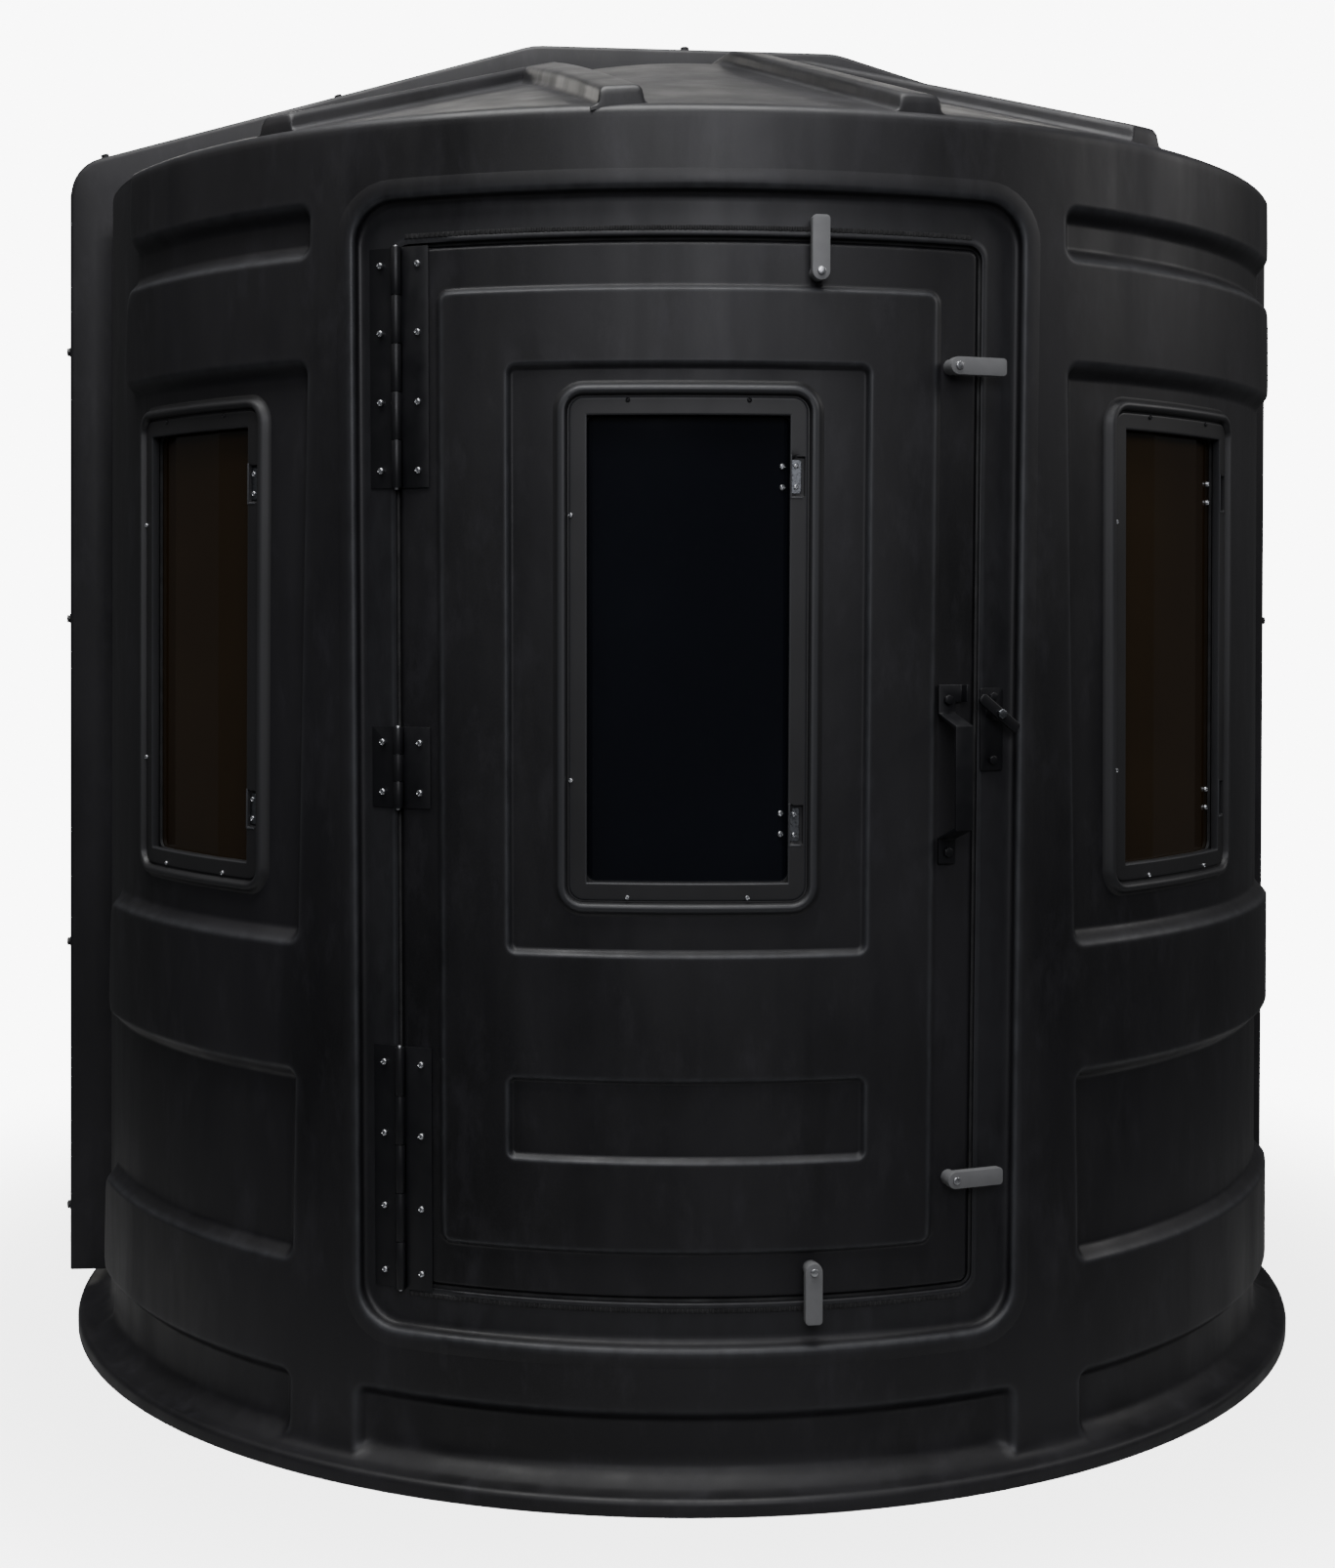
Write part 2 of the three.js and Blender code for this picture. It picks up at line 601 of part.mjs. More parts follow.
const keeperMiddle = (KEEPER.low + KEEPER.high) / 2;
addNode("latch_keeper", keeperPlate(), "steel", onWall(KEEPER.angle, keeperMiddle, KEEPER_OUT));
for (const [place, height] of Object.entries({ upper: KEEPER.high - 11, lower: KEEPER.low + 14 })) {
  const seat = onWall(KEEPER.angle, height, KEEPER_OUT + KEEPER.plate + GAP + BOLT / 2);
  addNode(`latch_keeper_bolt_${place}`, hexBolt(12, BOLT), "steel", seat);
}
const leverOut = KEEPER_OUT + KEEPER.plate - 1 + KEEPER.boss + GAP;
addNode("latch_lever", latchLever(), "steel", onWall(LEVER.angle, LEVER.height, leverOut));
addNode(
  "latch_lever_bolt",
  hexBolt(13, 5),
  "zinc",
  onWall(LEVER.angle, LEVER.height, leverOut + LEVER.thick + GAP + 2.5),
);

const WINDOWS = {
  door_window: 0,
  left_window: -SIDE_WINDOW,
  right_window: SIDE_WINDOW,
  rear_left_window: SIDE_WINDOW + 180,
  rear_right_window: 180 - SIDE_WINDOW,
};
for (const [name, angle] of Object.entries(WINDOWS)) {
  addNode(`${name}_seal`, windowSeal(angle), "rubber");
  addNode(`${name}_pane`, windowPane(angle), "glass");
  addNode(`${name}_catch`, windowCatch(angle), "steel");
  WINDOW_HINGES.forEach((height, i) => {
    const place = i ? "upper" : "lower";
    addNode(`${name}_hinge_${place}`, windowHinge(angle, height), "steel");
  });
}

export default group;
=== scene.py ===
"""Looks of the round hard-shell field blind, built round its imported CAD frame.

Lengths are in millimetres until a mesh is made. Angles are in degrees from the door's centre
line (-Y), positive towards +X. An offset is a distance out from the wall's raised surface.
"""

import json
import math

import bmesh
import bpy
import numpy as np
from mathutils import Matrix, Vector

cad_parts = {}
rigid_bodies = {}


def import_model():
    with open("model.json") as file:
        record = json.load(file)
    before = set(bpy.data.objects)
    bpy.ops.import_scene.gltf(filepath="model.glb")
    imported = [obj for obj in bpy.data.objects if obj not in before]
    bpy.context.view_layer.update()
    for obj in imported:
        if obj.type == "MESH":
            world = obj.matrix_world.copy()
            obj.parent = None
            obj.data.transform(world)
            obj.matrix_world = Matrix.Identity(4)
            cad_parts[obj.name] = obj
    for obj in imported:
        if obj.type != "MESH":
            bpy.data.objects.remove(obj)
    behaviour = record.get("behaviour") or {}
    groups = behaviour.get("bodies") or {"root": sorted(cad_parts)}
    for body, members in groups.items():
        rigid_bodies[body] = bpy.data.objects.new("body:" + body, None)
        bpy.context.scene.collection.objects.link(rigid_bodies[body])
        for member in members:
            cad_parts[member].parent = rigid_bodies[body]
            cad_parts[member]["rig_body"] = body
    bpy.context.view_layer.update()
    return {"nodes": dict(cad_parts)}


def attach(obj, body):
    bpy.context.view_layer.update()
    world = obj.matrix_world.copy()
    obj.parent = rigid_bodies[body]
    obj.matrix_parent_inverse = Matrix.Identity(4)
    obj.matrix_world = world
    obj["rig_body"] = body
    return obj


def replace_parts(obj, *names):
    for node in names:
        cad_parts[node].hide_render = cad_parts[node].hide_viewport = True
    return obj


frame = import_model()

MM = 0.001

# ---- driving dimensions, as in the CAD ------------------------------------------------------
WALL_FOOT_RADIUS = 957.5
WALL_DRAFT = 0.0196
WALL_TOP = 1720
RELIEF = 18
SKIN = 8
JAMB = -RELIEF
INSIDE = JAMB - SKIN

RIM_RADIUS = 990
EAVE = (905, 1750)
PLATEAU = (260, 1954)
ROOF_TOP = 1962
ROOF_FLAT = 120
ROOF_PROFILE = [(0, ROOF_TOP), (ROOF_FLAT, ROOF_TOP), PLATEAU, EAVE]

RIB_WIDTH = 56
RIB_PROUD = 22
RIB_RAMP = 30
RIBS = [
    ((-36, 912), (-36, 330)),
    ((-5.2, 912), (-33, 400)),
    ((18.4, 912), (18.4, 175)),
    ((41.8, 912), (41.8, 175)),
]

SEAM = 6
FIN_PROUD = 56
FIN_THICKNESS = 14
FIN_FOOT = 46
FIN_EAVE = 1842
FIN_SHOULDER = 62
FIN_PEAK = 2034

COLUMN = (34.0, 31.9)  # half angle of the plain wall round the doorway, at the foot and the top
CHANNEL = (70.0, 59.0)  # where the raised bands stop, at the foot and the top
SUNK_ROWS = [(35, 114), (276, 520), (701, 1442), (1588, 1640)]
SKIRT_ANGLE = 26.5

DOOR = dict(half=366, low=262, high=1585, corner=12)
DOOR_THICKNESS = 30
DOOR_GAP = 4
GASKET = 9
LIP = dict(half=427, low=200, high=1648, corner=52)
FIELD = dict(half=313, low=322, high=1528, corner=14)
FIELD_PROUD = 8
SURROUND = dict(half=224, low=702, high=1433, corner=10)
NAME_FIELD = dict(half=224, low=440, high=540, corner=8)

WINDOW = dict(half=126, low=792, high=1372, corner=12)
BEZEL = dict(half=162, low=755, high=1408, corner=32)
SIDE_WINDOW = 47.5
WINDOW_HINGES = (864, 1297)
WINDOWS = {
    "door_window": 0,
    "left_window": -SIDE_WINDOW,
    "right_window": SIDE_WINDOW,
    "rear_left_window": 180 + SIDE_WINDOW,
    "rear_right_window": 180 - SIDE_WINDOW,
}

HINGE_X = -366
HINGE_SCREWS = {"lower": (275, 360, 455, 548), "middle": (898, 962), "upper": (1307, 1393, 1480, 1565)}
TURN_HANDLES = ("top", "right_upper", "right_lower", "bottom")


# ---- shape helpers --------------------------------------------------------------------------
def wall_radius(z):
    return WALL_FOOT_RADIUS - WALL_DRAFT * z


def roof_height(r):
    inside = np.interp(r, *np.array(ROOF_PROFILE).T)
    slope = (EAVE[1] - PLATEAU[1]) / (EAVE[0] - PLATEAU[0])
    return np.where(r > EAVE[0], EAVE[1] + slope * (r - EAVE[0]), inside)


def smooth(t):
    t = np.clip(t, 0, 1)
    return t * t * (3 - 2 * t)


def column_edge(z):
    return COLUMN[0] + (COLUMN[1] - COLUMN[0]) * (z / WALL_TOP)


def channel_edge(z):
    return CHANNEL[0] + (CHANNEL[1] - CHANNEL[0]) * (z / WALL_TOP)


def band_ends(z):
    """Where the raised bands stop on each side; both are equally far from the seam."""
    return -channel_edge(z), channel_edge(z) + 2 * SEAM


def corner_distance(across, up, corner):
    """Signed distance to a rounded corner from how far a point is past each straight edge."""
    qx = across + corner
    qz = up + corner
    outside = np.hypot(np.maximum(qx, 0), np.maximum(qz, 0))
    return outside + np.minimum(np.maximum(qx, qz), 0) - corner


def outline_distance(x, z, outline, grow=0):
    """Signed distance from a rounded rectangle, positive outside it."""
    across = np.abs(x) - outline["half"] - grow
    middle = (outline["low"] + outline["high"]) / 2
    up = np.abs(z - middle) - (outline["high"] - outline["low"]) / 2 - grow
    return corner_distance(across, up, max(outline["corner"] + grow, 1))


def step_in(distance, width):
    """1 well inside an edge, 0 outside, with a rounded step of the given width between."""
    return smooth(0.5 - distance / width)


def lines(start, end, step, edges=(), spread=14, fine=2.5):
    """Positions from start to end, a step apart, and close together on both sides of each edge."""
    coarse = np.linspace(start, end, int(round((end - start) / step)) + 1)
    close = [np.arange(-spread, spread + fine / 2, fine) + edge for edge in edges]
    close = np.concatenate(close) if close else np.zeros(0)
    close = close[(close > start + fine / 2) & (close < end - fine / 2)]
    far = [c for c in coarse if not len(close) or np.abs(close - c).min() > fine * 0.7]
    ends = {float(start), float(end)}
    return np.array(sorted(set(np.round(np.concatenate([far, close]), 4).tolist()) | ends))


def facing(angle):
    """Unit vectors across and out from the wall at one angle."""
    a = math.radians(angle)
    return np.array([math.cos(a), math.sin(a), 0]), np.array([math.sin(a), -math.cos(a), 0])


def on_wall(x, z, offset, angle=0):
    """Points at a distance across and a height on the wall, seen straight on at one angle."""
    x, z, offset = np.broadcast_arrays(x, z, offset)
    across, out = facing(angle)
    depth = np.sqrt((wall_radius(z) + offset) ** 2 - x**2)
    return x[..., None] * across + depth[..., None] * out + z[..., None] * np.array([0, 0, 1])


def axes_matrix(right, up, out, spot):
    matrix = Matrix((right, up, out)).transposed().to_4x4()
    matrix.translation = Vector(spot)
    return matrix


def seat_matrix(x, z, offset, angle=0):
    """A frame on the wall whose third axis points out of it; in millimetres."""
    spot = on_wall(x, z, offset, angle)
    turn = math.atan2(spot[0], -spot[1])
    right = Vector((math.cos(turn), math.sin(turn), 0))
    out = Vector((math.sin(turn), -math.cos(turn), WALL_DRAFT)).normalized()
    return axes_matrix(right, out.cross(right), out, spot)


# ---- mesh makers ----------------------------------------------------------------------------
def new_object(name, data):
    item = bpy.data.objects.new(name, data)
    bpy.context.scene.collection.objects.link(item)
    return item


def ride(name, mesh, body, material):
    """A finished mesh as a piece that moves with a body."""
    mesh.materials.append(material)
    piece = new_object(name, mesh)
    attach(piece, body)
    return piece


def make_piece(name, points, faces, material, body, sharp_angle, shade=None):
    """A mesh object from points in millimetres, riding on a body."""
    mesh = bpy.data.meshes.new(name)
    mesh.from_pydata((np.asarray(points, float) * MM).tolist(), [], [list(map(int, f)) for f in faces])
    mesh.validate()
    # The shade values are stored per point as the painted edge highlight and wear that the plastics read.
    if shade is not None:
        layer = mesh.attributes.new("edge_highlight_and_wear", "FLOAT", "POINT")
        layer.data.foreach_set("value", np.asarray(shade, np.float32))
    work = bmesh.new()
    work.from_mesh(mesh)
    bmesh.ops.recalc_face_normals(work, faces=work.faces)
    work.to_mesh(mesh)
    work.free()
    mesh.shade_smooth()
    mesh.set_sharp_from_angle(angle=math.radians(sharp_angle))
    return ride(name, mesh, body, material)


def make_group(name, parts, material, body, sharp_angle=35, worn_and_lit=0):
    """One piece from several (points, faces) pairs; the last argument, if not 0, gives every point the same
    painted edge highlight and wear.
    """
    points, faces = joined(parts)
    shade = np.full(len(points), float(worn_and_lit)) if worn_and_lit else None
    return make_piece(name, points, faces, material, body, sharp_angle, shade)


def two_skins(front, back, keep):
    """Points and faces of a closed plate from two equal grids, without the cells not kept.

    The third value lists which of the grids' points are left.
    """
    rows, columns = front.shape[:2]
    index = np.arange(rows * columns).reshape(rows, columns)
    shift = rows * columns
    a, b, c, d = index[:-1, :-1], index[:-1, 1:], index[1:, 1:], index[1:, :-1]
    cells = np.stack([a, b, c, d], -1)
    faces = [cells[keep], cells[keep][:, ::-1] + shift]
    padded = np.zeros((rows + 1, columns + 1), bool)
    padded[1:-1, 1:-1] = keep
    along = padded[1:, 1:-1] != padded[:-1, 1:-1]
    i, j = np.nonzero(along)
    faces.append(np.stack([index[i, j], index[i, j + 1], index[i, j + 1] + shift, index[i, j] + shift], -1))
    up = padded[1:-1, 1:] != padded[1:-1, :-1]
    i, j = np.nonzero(up)
    faces.append(np.stack([index[i, j], index[i + 1, j], index[i + 1, j] + shift, index[i, j] + shift], -1))
    points = np.concatenate([front.reshape(-1, 3), back.reshape(-1, 3)])
    faces = np.concatenate(faces)
    used, new = np.unique(faces, return_inverse=True)
    return points[used], new.reshape(faces.shape), used


def loop_points(outline, grow, rungs, around=24, corners=8):
    """x and z round a rounded rectangle; rungs are the heights of points on its upright sides."""
    half = outline["half"] + grow
    low, high = outline["low"] - grow, outline["high"] + grow
    corner = max(outline["corner"] + grow, 1.5)
    share = np.linspace(0, 1, around + 1)[1:-1]
    bend = np.linspace(0, math.pi / 2, corners + 1)
    base = np.linspace(outline["low"], outline["high"], 3)
    span = (rungs - base[0]) / (base[-1] - base[0])
    rise = low + corner + (high - low - 2 * corner) * span
    flat = -half + corner + 2 * (half - corner) * share
    parts = [
        (flat, np.full_like(flat, low)),
        (half - corner + corner * np.sin(bend), low + corner - corner * np.cos(bend)),
        (np.full_like(rise, half), rise),
        (half - corner + corner * np.cos(bend), high - corner + corner * np.sin(bend)),
        (flat[::-1], np.full_like(flat, high)),
        (-half + corner - corner * np.sin(bend), high - corner + corner * np.cos(bend)),
        (np.full_like(rise, -half), rise[::-1]),
        (-half + corner - corner * np.cos(bend), low + corner - corner * np.sin(bend)),
    ]
    x, z = zip(*parts)
    return np.concatenate(x), np.concatenate(z)


def ring_faces(grid):
    """Faces from each closed ring of points to the next, and from the last to the first."""
    count, length = grid.shape[:2]
    index = np.arange(count * length).reshape(count, length)
    ahead = np.roll(index, -1, 1)
    return np.stack([index, ahead, np.roll(ahead, -1, 0), np.roll(index, -1, 0)], -1)


def looped(rings, highlight_and_wear):
    """Points, faces and the painted edge highlight and wear of a closed band whose rings make a loop."""
    grid = np.array(rings)
    shade = np.repeat(np.asarray(highlight_and_wear, float), grid.shape[1])
    return grid.reshape(-1, 3), ring_faces(grid).reshape(-1, 4), shade


def capped(rings):
    """A closed body from a stack of equal rings, with a face across each end."""
    grid = np.array(rings)
    faces = ring_faces(grid)[:-1].reshape(-1, 4).tolist()
    first = list(range(grid.shape[1]))
    last = (len(grid) - 1) * grid.shape[1]
    return grid.reshape(-1, 3), faces + [first[::-1], [last + v for v in first]]


def swept_ring(outline, profile, angle, rungs, around, adjust, highlight_and_wear=None):
    """A closed band round an outline; the profile is a closed loop of (grow, offset) pairs."""
    rings = []
    for grow, offset in profile:
        x, z = loop_points(outline, grow, rungs, around)
        level = adjust(x, z, grow, np.full_like(x, offset))
        rings.append(on_wall(x, z, level, angle))
    return looped(rings, highlight_and_wear or [0] * len(profile))


def joined(parts):
    """One list of points and faces from several (points, faces) pairs."""
    points, faces, count = [], [], 0
    for some_points, some_faces in parts:
        points.append(np.asarray(some_points, float))
        faces += [[int(v) + count for v in face] for face in some_faces]
        count += len(some_points)
    return np.concatenate(points), faces


def circles(profile, segments):
    """A ring of points round Z for each (radius, height) pair."""
    turn = np.linspace(0, 2 * math.pi, segments, endpoint=False)
    return np.array([np.stack([r * np.cos(turn), r * np.sin(turn), 0 * turn + z], -1) for r, z in profile])


def turned(profile, segments):
    """A closed body of revolution about Z from (radius, height) pairs that start and end at 0."""
    rings = circles(profile[1:-1], segments)
    ends = [[0, 0, profile[0][1]], [0, 0, profile[-1][1]]]
    faces = ring_faces(rings)[:-1].reshape(-1, 4).tolist()
    foot = len(rings) * segments
    last = foot - segments
    for j in range(segments):
        k = (j + 1) % segments
        faces += [[foot, k, j], [foot + 1, last + j, last + k]]
    return np.concatenate([rings.reshape(-1, 3), ends]), faces


def moved(part, matrix):
    points, faces = part
    rotation = np.array(matrix.to_3x3())
    return np.asarray(points, float) @ rotation.T + np.array(matrix.translation), faces


def pan_head(radius, height, segments=24):
    """A screw head with a cross recess."""
    rings = [(1.0, -0.4), (1.0, 0.25), (0.95, 0.55), (0.8, 0.85), (0.62, 0.97)]
    rings += [(0.45, 1.0), (0.25, 1.0), (0.12, 1.0)]
    profile = [(0, -0.4 * height)] + [(r * radius, h * height) for r, h in rings] + [(0, height)]
    points, faces = turned(profile, segments)
    arm = np.minimum(np.abs(points[:, 0]), np.abs(points[:, 1]))
    reach = np.hypot(points[:, 0], points[:, 1])
    sunk = (arm < 0.16 * radius) & (reach < 0.63 * radius) & (points[:, 2] > 0.5 * height)
    points[sunk, 2] -= 0.5 * height
    return points, faces


def heads(radius, height, spots, offset, angle=0):
    """Screw heads at (x, z) spots on the wall, all seated at one offset."""
    return [moved(pan_head(radius, height), seat_matrix(x, z, offset, angle)) for x, z in spots]


def hex_head(across=12, height=6):
    """A hexagon bolt head with a chamfered crown on a round washer."""
    radius = across / 2 / math.cos(math.pi / 6)
    levels = [(0.98, 1.2), (1.0, 1.6), (1.0, height - 0.9), (0.88, height), (0.4, height - 0.1)]
    head = capped(circles([(share * radius, z) for share, z in levels], 6))
    washer = [(0, 0), (across * 0.72, 0), (across * 0.72, 1.0), (across * 0.68, 1.4), (0, 1.4)]
    return joined([head, turned(washer, 24)])


def soft_plate(x, z, half_wide, half_tall, offset, thick, angle, corner):
    """A small flat plate on the wall with rounded corners and rounded edges."""
    bend = np.linspace(0, math.pi / 2, 5)
    rings = []
    for inset, level in ((0, offset), (0, offset + thick * 0.6), (thick * 0.4, offset + thick)):
        w, h = half_wide - inset, half_tall - inset
        c = max(corner - inset, 0.5)
        sine, cosine = c * np.sin(bend), c * np.cos(bend)
        px = np.concatenate([w - c + sine, w - c + cosine, c - w - sine, c - w - cosine])
        pz = np.concatenate([c - h - cosine, h - c + sine, h - c + cosine, c - h - sine])
        rings.append(on_wall(x + px, z + pz, level, angle))
    return capped(rings)


# ---- materials ------------------------------------------------------------------------------
class Nodes:
    """A small helper that adds and links the nodes of one material."""

    def __init__(self, name):
        self.material = bpy.data.materials.new(name)
        self.material.use_nodes = True
        self.tree = self.material.node_tree
        self.shader = self.tree.nodes["Principled BSDF"]
        self.coordinates = self.tree.nodes.new("ShaderNodeTexCoord").outputs["Object"]

    def new(self, kind, **values):
        node = self.tree.nodes.new(kind)
        for key, value in values.items():
            if hasattr(node, key):
                setattr(node, key, value)
            else:
                node.inputs[key.replace("_", " ")].default_value = value
        return node

    def link(self, source, target):
        self.tree.links.new(source, target)

    def feed(self, socket, value):
        """Sets a socket to a number or a colour, or links it to another node."""
        if isinstance(value, tuple):
            socket.default_value = (*value, 1)
        elif isinstance(value, (int, float)):
            socket.default_value = value
        else:
            self.link(value, socket)

    def noise(self, scale, detail=3, stretch=(1, 1, 1), roughness=0.55):
        mapping = self.new("ShaderNodeMapping")
        mapping.inputs["Scale"].default_value = stretch
        self.link(self.coordinates, mapping.inputs["Vector"])
        node = self.new("ShaderNodeTexNoise", Scale=scale, Detail=detail, Roughness=roughness)
        self.link(mapping.outputs["Vector"], node.inputs["Vector"])
        return node.outputs["Fac"]

    def ramp(self, value, low, high, start=0.0, end=1.0):
        node = self.new("ShaderNodeMapRange", From_Min=low, From_Max=high, To_Min=start, To_Max=end)
        self.link(value, node.inputs["Value"])
        return node.outputs["Result"]

    def mix_colour(self, factor, first, second):
        node = self.new("ShaderNodeMix", data_type="RGBA")
        for index, value in ((0, factor), (6, first), (7, second)):
            self.feed(node.inputs[index], value)
        return node.outputs[2]

    def math(self, operation, first, second):
        node = self.new("ShaderNodeMath", operation=operation)
        for socket, value in zip(node.inputs, (first, second)):
            self.feed(socket, value)
        return node.outputs["Value"]

    def bump(self, height, strength, distance, previous=None):
        node = self.new("ShaderNodeBump", Strength=strength, Distance=distance)
        self.link(height, node.inputs["Height"])
        if previous:
            self.link(previous, node.inputs["Normal"])
        return node.outputs["Normal"]

    def set(self, **values):
        for key, value in values.items():
            self.feed(self.shader.inputs[key.replace("_", " ")], value)
        return self.material


def shell_plastic():
    """Near-black moulded polyethylene: a soft mottled sheen, a fine grain, and pale edges that are a
    painted highlight along raised edges, broken up like wear.
    """
    n = Nodes("moulded_shell")
    cloud = n.ramp(n.noise(2.4, 6, (1, 1, 0.5), 0.62), 0.38, 0.64)
    streak = n.ramp(n.noise(11, 5, (1, 1, 0.12), 0.6), 0.36, 0.66)
    speck = n.ramp(n.noise(420, 2), 0.35, 0.7)
    scuff = n.ramp(n.noise(20, 7, (1, 1, 0.4), 0.72), 0.52, 0.76)
    colour = n.mix_colour(cloud, (0.0026, 0.0025, 0.0031), (0.0096, 0.0092, 0.0114))
    colour = n.mix_colour(n.math("MULTIPLY", speck, 0.3), colour, (0.013, 0.0128, 0.0148))
    colour = n.mix_colour(n.math("MULTIPLY", scuff, 0.7), colour, (0.0205, 0.0198, 0.0238))
    # Pale edges from the edge attribute: a painted highlight along raised edges and on shaded jambs, mixed
    # with wear by the noise.
    highlight_and_wear = n.new("ShaderNodeAttribute", attribute_name="edge_highlight_and_wear").outputs["Fac"]
    worn_and_lit = n.math("MULTIPLY", highlight_and_wear, n.ramp(n.noise(60, 4, (1, 1, 0.4)), 0.3, 0.7, 0.4, 1.0))
    colour = n.mix_colour(worn_and_lit, colour, (0.045, 0.047, 0.052))
    roughness = n.math("ADD", n.ramp(streak, 0, 1, 0.40, 0.54), n.math("MULTIPLY", cloud, 0.10))
    grain = n.bump(n.noise(650, 3), 0.10, 0.0006)
    wave = n.bump(n.noise(7, 4, (1, 1, 0.6)), 0.35, 0.004, grain)
    return n.set(Base_Color=colour, Roughness=roughness, Normal=wave, Specular_IOR_Level=0.40)


def frame_plastic():
    """The window frames' smoother and slightly paler plastic."""
    n = Nodes("window_frame")
    cloud = n.ramp(n.noise(5, 4), 0.35, 0.68)
    colour = n.mix_colour(cloud, (0.0105, 0.0104, 0.0112), (0.0155, 0.0154, 0.0165))
    # Paler where the edge attribute is set: a painted highlight on the bead and the pocket rims, mixed with
    # wear.
    highlight_and_wear = n.new("ShaderNodeAttribute", attribute_name="edge_highlight_and_wear").outputs["Fac"]
    colour = n.mix_colour(n.math("MULTIPLY", highlight_and_wear, 0.8), colour, (0.045, 0.047, 0.052))
    roughness = n.ramp(n.noise(14, 4, (1, 1, 0.3)), 0.3, 0.7, 0.42, 0.56)
    grain = n.bump(n.noise(900, 2), 0.08, 0.0004)
    return n.set(Base_Color=colour, Roughness=roughness, Normal=grain, Specular_IOR_Level=0.45)


def black_steel():
    """Satin black paint over folded steel, thinned to metal in small chips."""
    n = Nodes("black_steel")
    chips = n.ramp(n.noise(160, 6, (1, 1, 1), 0.75), 0.76, 0.84)
    colour = n.mix_colour(n.noise(30, 4), (0.0052, 0.0053, 0.0064), (0.0090, 0.0091, 0.0105))
    colour = n.mix_colour(n.math("MULTIPLY", chips, 0.3), colour, (0.05, 0.05, 0.055))
    roughness = n.ramp(n.noise(40, 4), 0.3, 0.7, 0.34, 0.48)
    grain = n.bump(n.noise(500, 3), 0.06, 0.0003)
    return n.set(Base_Color=colour, Roughness=roughness, Normal=grain, Specular_IOR_Level=0.32)


def zinc(name, first, second):
    """Plated steel, faintly spangled."""
    n = Nodes(name)
    spangle = n.new("ShaderNodeTexVoronoi", Scale=900.0)
    n.link(n.coordinates, spangle.inputs["Vector"])
    shade = n.ramp(spangle.outputs["Distance"], 0, 0.8)
    colour = n.mix_colour(shade, first, second)
    roughness = n.ramp(n.noise(300, 3), 0.3, 0.7, 0.22, 0.40)
    return n.set(Base_Color=colour, Roughness=roughness, Metallic=1.0)


def rubber():
    """Matt black extruded rubber with a dusty bloom."""
    n = Nodes("gasket_rubber")
    bloom = n.ramp(n.noise(45, 5), 0.4, 0.75)
    colour = n.mix_colour(bloom, (0.006, 0.006, 0.0065), (0.02, 0.02, 0.021))
    grain = n.bump(n.noise(700, 3), 0.25, 0.0005)
    roughness = n.ramp(n.noise(30, 3), 0.3, 0.7, 0.62, 0.8)
    return n.set(Base_Color=colour, Roughness=roughness, Normal=grain)


def grey_plastic():
    """Mid-grey moulded grips with a fine spark-eroded grain."""
    n = Nodes("grey_grip")
    colour = n.mix_colour(n.noise(60, 4), (0.12, 0.122, 0.125), (0.165, 0.167, 0.17))
    marks = n.ramp(n.noise(220, 5, (1, 1, 1), 0.7), 0.62, 0.75)
    colour = n.mix_colour(n.math("MULTIPLY", marks, 0.5), colour, (0.09, 0.09, 0.092))
    grain = n.bump(n.noise(1100, 2), 0.2, 0.0004)
    roughness = n.ramp(n.noise(50, 3), 0.3, 0.7, 0.44, 0.58)
    return n.set(Base_Color=colour, Roughness=roughness, Normal=grain)


def tinted_glass(name, first, second):
    """Dark tinted pane with a faint film of dust on it."""
    n = Nodes(name)
    film = n.ramp(n.noise(3.5, 5), 0.45, 0.75)
    dust = n.ramp(n.noise(260, 3), 0.6, 0.8)
    colour = n.mix_colour(film, first, second)
    colour = n.mix_colour(n.math("MULTIPLY", dust, 0.12), colour, (0.03, 0.03, 0.03))
    roughness = n.ramp(film, 0, 1, 0.03, 0.12)
    wave = n.bump(n.noise(5, 2), 0.08, 0.001)
    return n.set(Base_Color=colour, Roughness=roughness, Normal=wave, Specular_IOR_Level=0.3)


def floor_mat():
    """The blind's own floor: dark board under a studded mat."""
    n = Nodes("studded_floor")
    studs = n.new("ShaderNodeTexVoronoi", Scale=38.0)
    studs.inputs["Randomness"].default_value = 0.0
    n.link(n.coordinates, studs.inputs["Vector"])
    stud = n.ramp(studs.outputs["Distance"], 0.28, 0.36, 1.0, 0.0)
    dirt = n.ramp(n.noise(6, 5), 0.4, 0.7)
    colour = n.mix_colour(dirt, (0.014, 0.014, 0.015), (0.032, 0.030, 0.027))
    colour = n.mix_colour(n.math("MULTIPLY", stud, 0.4), colour, (0.03, 0.03, 0.031))
    grain = n.bump(n.noise(300, 3), 0.2, 0.001)
    relief = n.bump(stud, 0.7, 0.002, grain)
    return n.set(Base_Color=colour, Roughness=0.72, Normal=relief)


def studio_floor():
    """Pale floor that fades out into the white surround away from the blind."""
    n = Nodes("studio_floor")
    tone = n.mix_colour(n.noise(1.2, 3), (0.62, 0.62, 0.62), (0.67, 0.67, 0.67))
    distance = n.new("ShaderNodeVectorMath", operation="LENGTH")
    n.link(n.coordinates, distance.inputs[0])
    solid = n.new("ShaderNodeMapRange", From_Min=1.0, From_Max=2.1, To_Min=0.56, To_Max=0.0)
    solid.interpolation_type = "SMOOTHSTEP"
    n.link(distance.outputs["Value"], solid.inputs["Value"])
    return n.set(Base_Color=tone, Roughness=0.7, Specular_IOR_Level=0.1, Alpha=solid.outputs["Result"])


